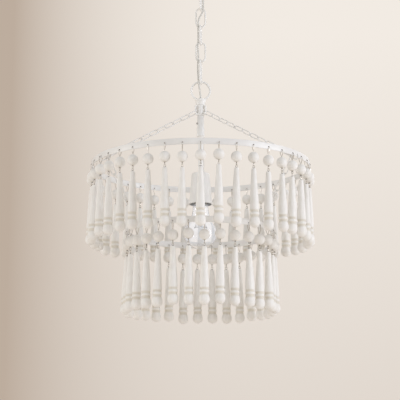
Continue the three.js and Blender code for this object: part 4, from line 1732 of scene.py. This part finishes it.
@dataclass
class CableChains:
    """Three arm chains from the hub to the upper hoop and three droppers to the lower one."""

    pitch: float = 18.4
    width: float = 10.4
    wire: float = 2.0
    play: float = 0.1
    arm_twist: float = 45.0
    dropper_twist: float = 90.0
    end_tilt: float = 30.0
    start_radius: float = 9.1
    start_drop: float = 14.2
    dropper_inset: float = 9.5
    band_below: float = 4.05  # from the holes down to the band's lower edge
    hole_top: float = 2.1
    band_reach: float = 1.0
    sag_steps: int = 60
    chance: random.Random = field(default_factory=lambda: random.Random(5))

    def build(self) -> None:
        """Hangs all six chains."""
        for i, angle in enumerate(ARM_ANGLES):
            for label, links in (("arm", self.lay_arm()), ("dropper", self.lay_dropper())):
                chain = join_pieces(f"{label}_links_{i + 1}", links)
                place(chain, spun(angle - 90))
                hand_over(chain, POWDER_COAT, "fixture", [f"{label}_chain_{i + 1}"])

    def make_link(self, clear: float) -> Piece:
        """One small link, given by the clear length inside it."""
        return bend_link("small_link", clear + 2 * self.wire, self.width, self.wire, 8, 7)

    def spread(self, line: list[Vector], twist: float, odd: bool) -> list[Piece]:
        """Lays links along a line, each turned a quarter from the one before it.

        Args:
            line: Points from the chain's start to its end.
            twist: Turn of the first link about the chain.
            odd: Whether the count of links has to be odd.

        Returns:
            The links.
        """
        lengths = [0.0]
        for a, b in zip(line, line[1:]):
            lengths.append(lengths[-1] + (b - a).length)
        count = round(lengths[-1] / self.pitch)
        if odd:
            count = 2 * round((lengths[-1] / self.pitch - 1) / 2) + 1
        links = []
        for i in range(count):
            reach = lengths[-1] * (i + 0.5) / count
            k = next(j for j, length in enumerate(lengths) if length >= reach)
            share = (reach - lengths[k - 1]) / (lengths[k] - lengths[k - 1])
            middle = line[k - 1].lerp(line[k], share)
            back = (line[k - 1] - line[k]).normalized()
            lean = Vector((0, 0, 1)).rotation_difference(back).to_matrix().to_4x4()
            roll = spun(twist + 90 * (i % 2) + self.chance.uniform(-4, 4))
            link = self.make_link(lengths[-1] / count + self.play)
            links.append(place(link, shift(*middle) @ lean @ roll))
        return links

    def lay_arm(self) -> list[Piece]:
        """An arm sags from its hub eye to the hoop, and its last link closes round the band.

        Returns:
            The arm's links, along +X.
        """
        tilt = math.radians(self.end_tilt)
        pull = Vector((math.cos(tilt), 0, -math.sin(tilt)))
        leg = (self.width - self.wire) / 2
        down = self.band_below - leg * math.cos(tilt)
        out = self.band_reach + leg * math.sin(tilt)
        reach = out * math.cos(tilt) + down * math.sin(tilt) + self.wire / 2
        level = Level.UPPER_HOOP - leg * math.cos(tilt)
        start = Vector((self.start_radius, 0, Level.HUB - self.start_drop))
        end = Vector((Tier.UPPER.radius - leg * math.sin(tilt), 0, level)) + pull * reach
        last_start = end - pull * self.pitch
        control = last_start - pull * ((last_start - start).length / 2)
        steps = self.sag_steps
        line = [
            start.lerp(control, t / steps).lerp(control.lerp(last_start, t / steps), t / steps)
            for t in range(steps + 1)
        ]
        links = self.spread(line, self.arm_twist, False)
        last = self.make_link(self.pitch + self.play)
        lean = shift(*last_start.lerp(end, 0.5)) @ spun(90 + self.end_tilt, "Y")
        return [*links, place(last, lean)]

    def lay_dropper(self) -> list[Piece]:
        """A dropper hangs from an arm's last link, and its own last link closes over the band.

        Returns:
            The dropper's links, along +X.
        """
        tilt = math.radians(self.end_tilt)
        leg = (self.width - self.wire) / 2
        level = Level.UPPER_HOOP - leg * math.cos(tilt) + self.dropper_inset * math.tan(tilt)
        top = level - (leg - self.wire / 2) / math.cos(tilt) + SEAT
        floor = Level.LOWER_HOOP + self.hole_top - SEAT
        start = Vector((Tier.UPPER.radius - self.dropper_inset, 0, top))
        end = Vector((Tier.LOWER.radius, 0, floor + self.pitch))
        links = self.spread([start, end], self.dropper_twist, True)
        last = self.make_link(self.pitch + self.play)
        return [*links, place(last, shift(Tier.LOWER.radius, 0, floor + self.pitch / 2))]


# ------------------------------------------------------------------ main


def main() -> None:
    """Builds the studio's camera, the cord, and then every sub-assembly from the ceiling down."""
    logging.basicConfig(level=logging.INFO, format="%(name)s %(message)s")
    studio = Studio()
    studio.set_camera()
    PowerCord().build()
    CeilingSet().build()
    SuspensionChain().build()
    FixtureHead().build()
    LampSocket().build()
    Bulb().build()
    CableChains().build()
    strand = Strand()
    masters = {
        "wires": strand.make_wires(),
        "bead": strand.make_bead(),
        "spindle": strand.make_spindle(),
    }
    HoopTier(Tier.UPPER, masters, slack=(-0.4, 1.2), front=FRONT_STRANDS).build()
    HoopTier(Tier.LOWER, masters, slack=(0.5, 3.0)).build()
    for master in masters.values():
        bpy.data.objects.remove(master)
    studio.light()


if __name__ == "__main__":
    main()
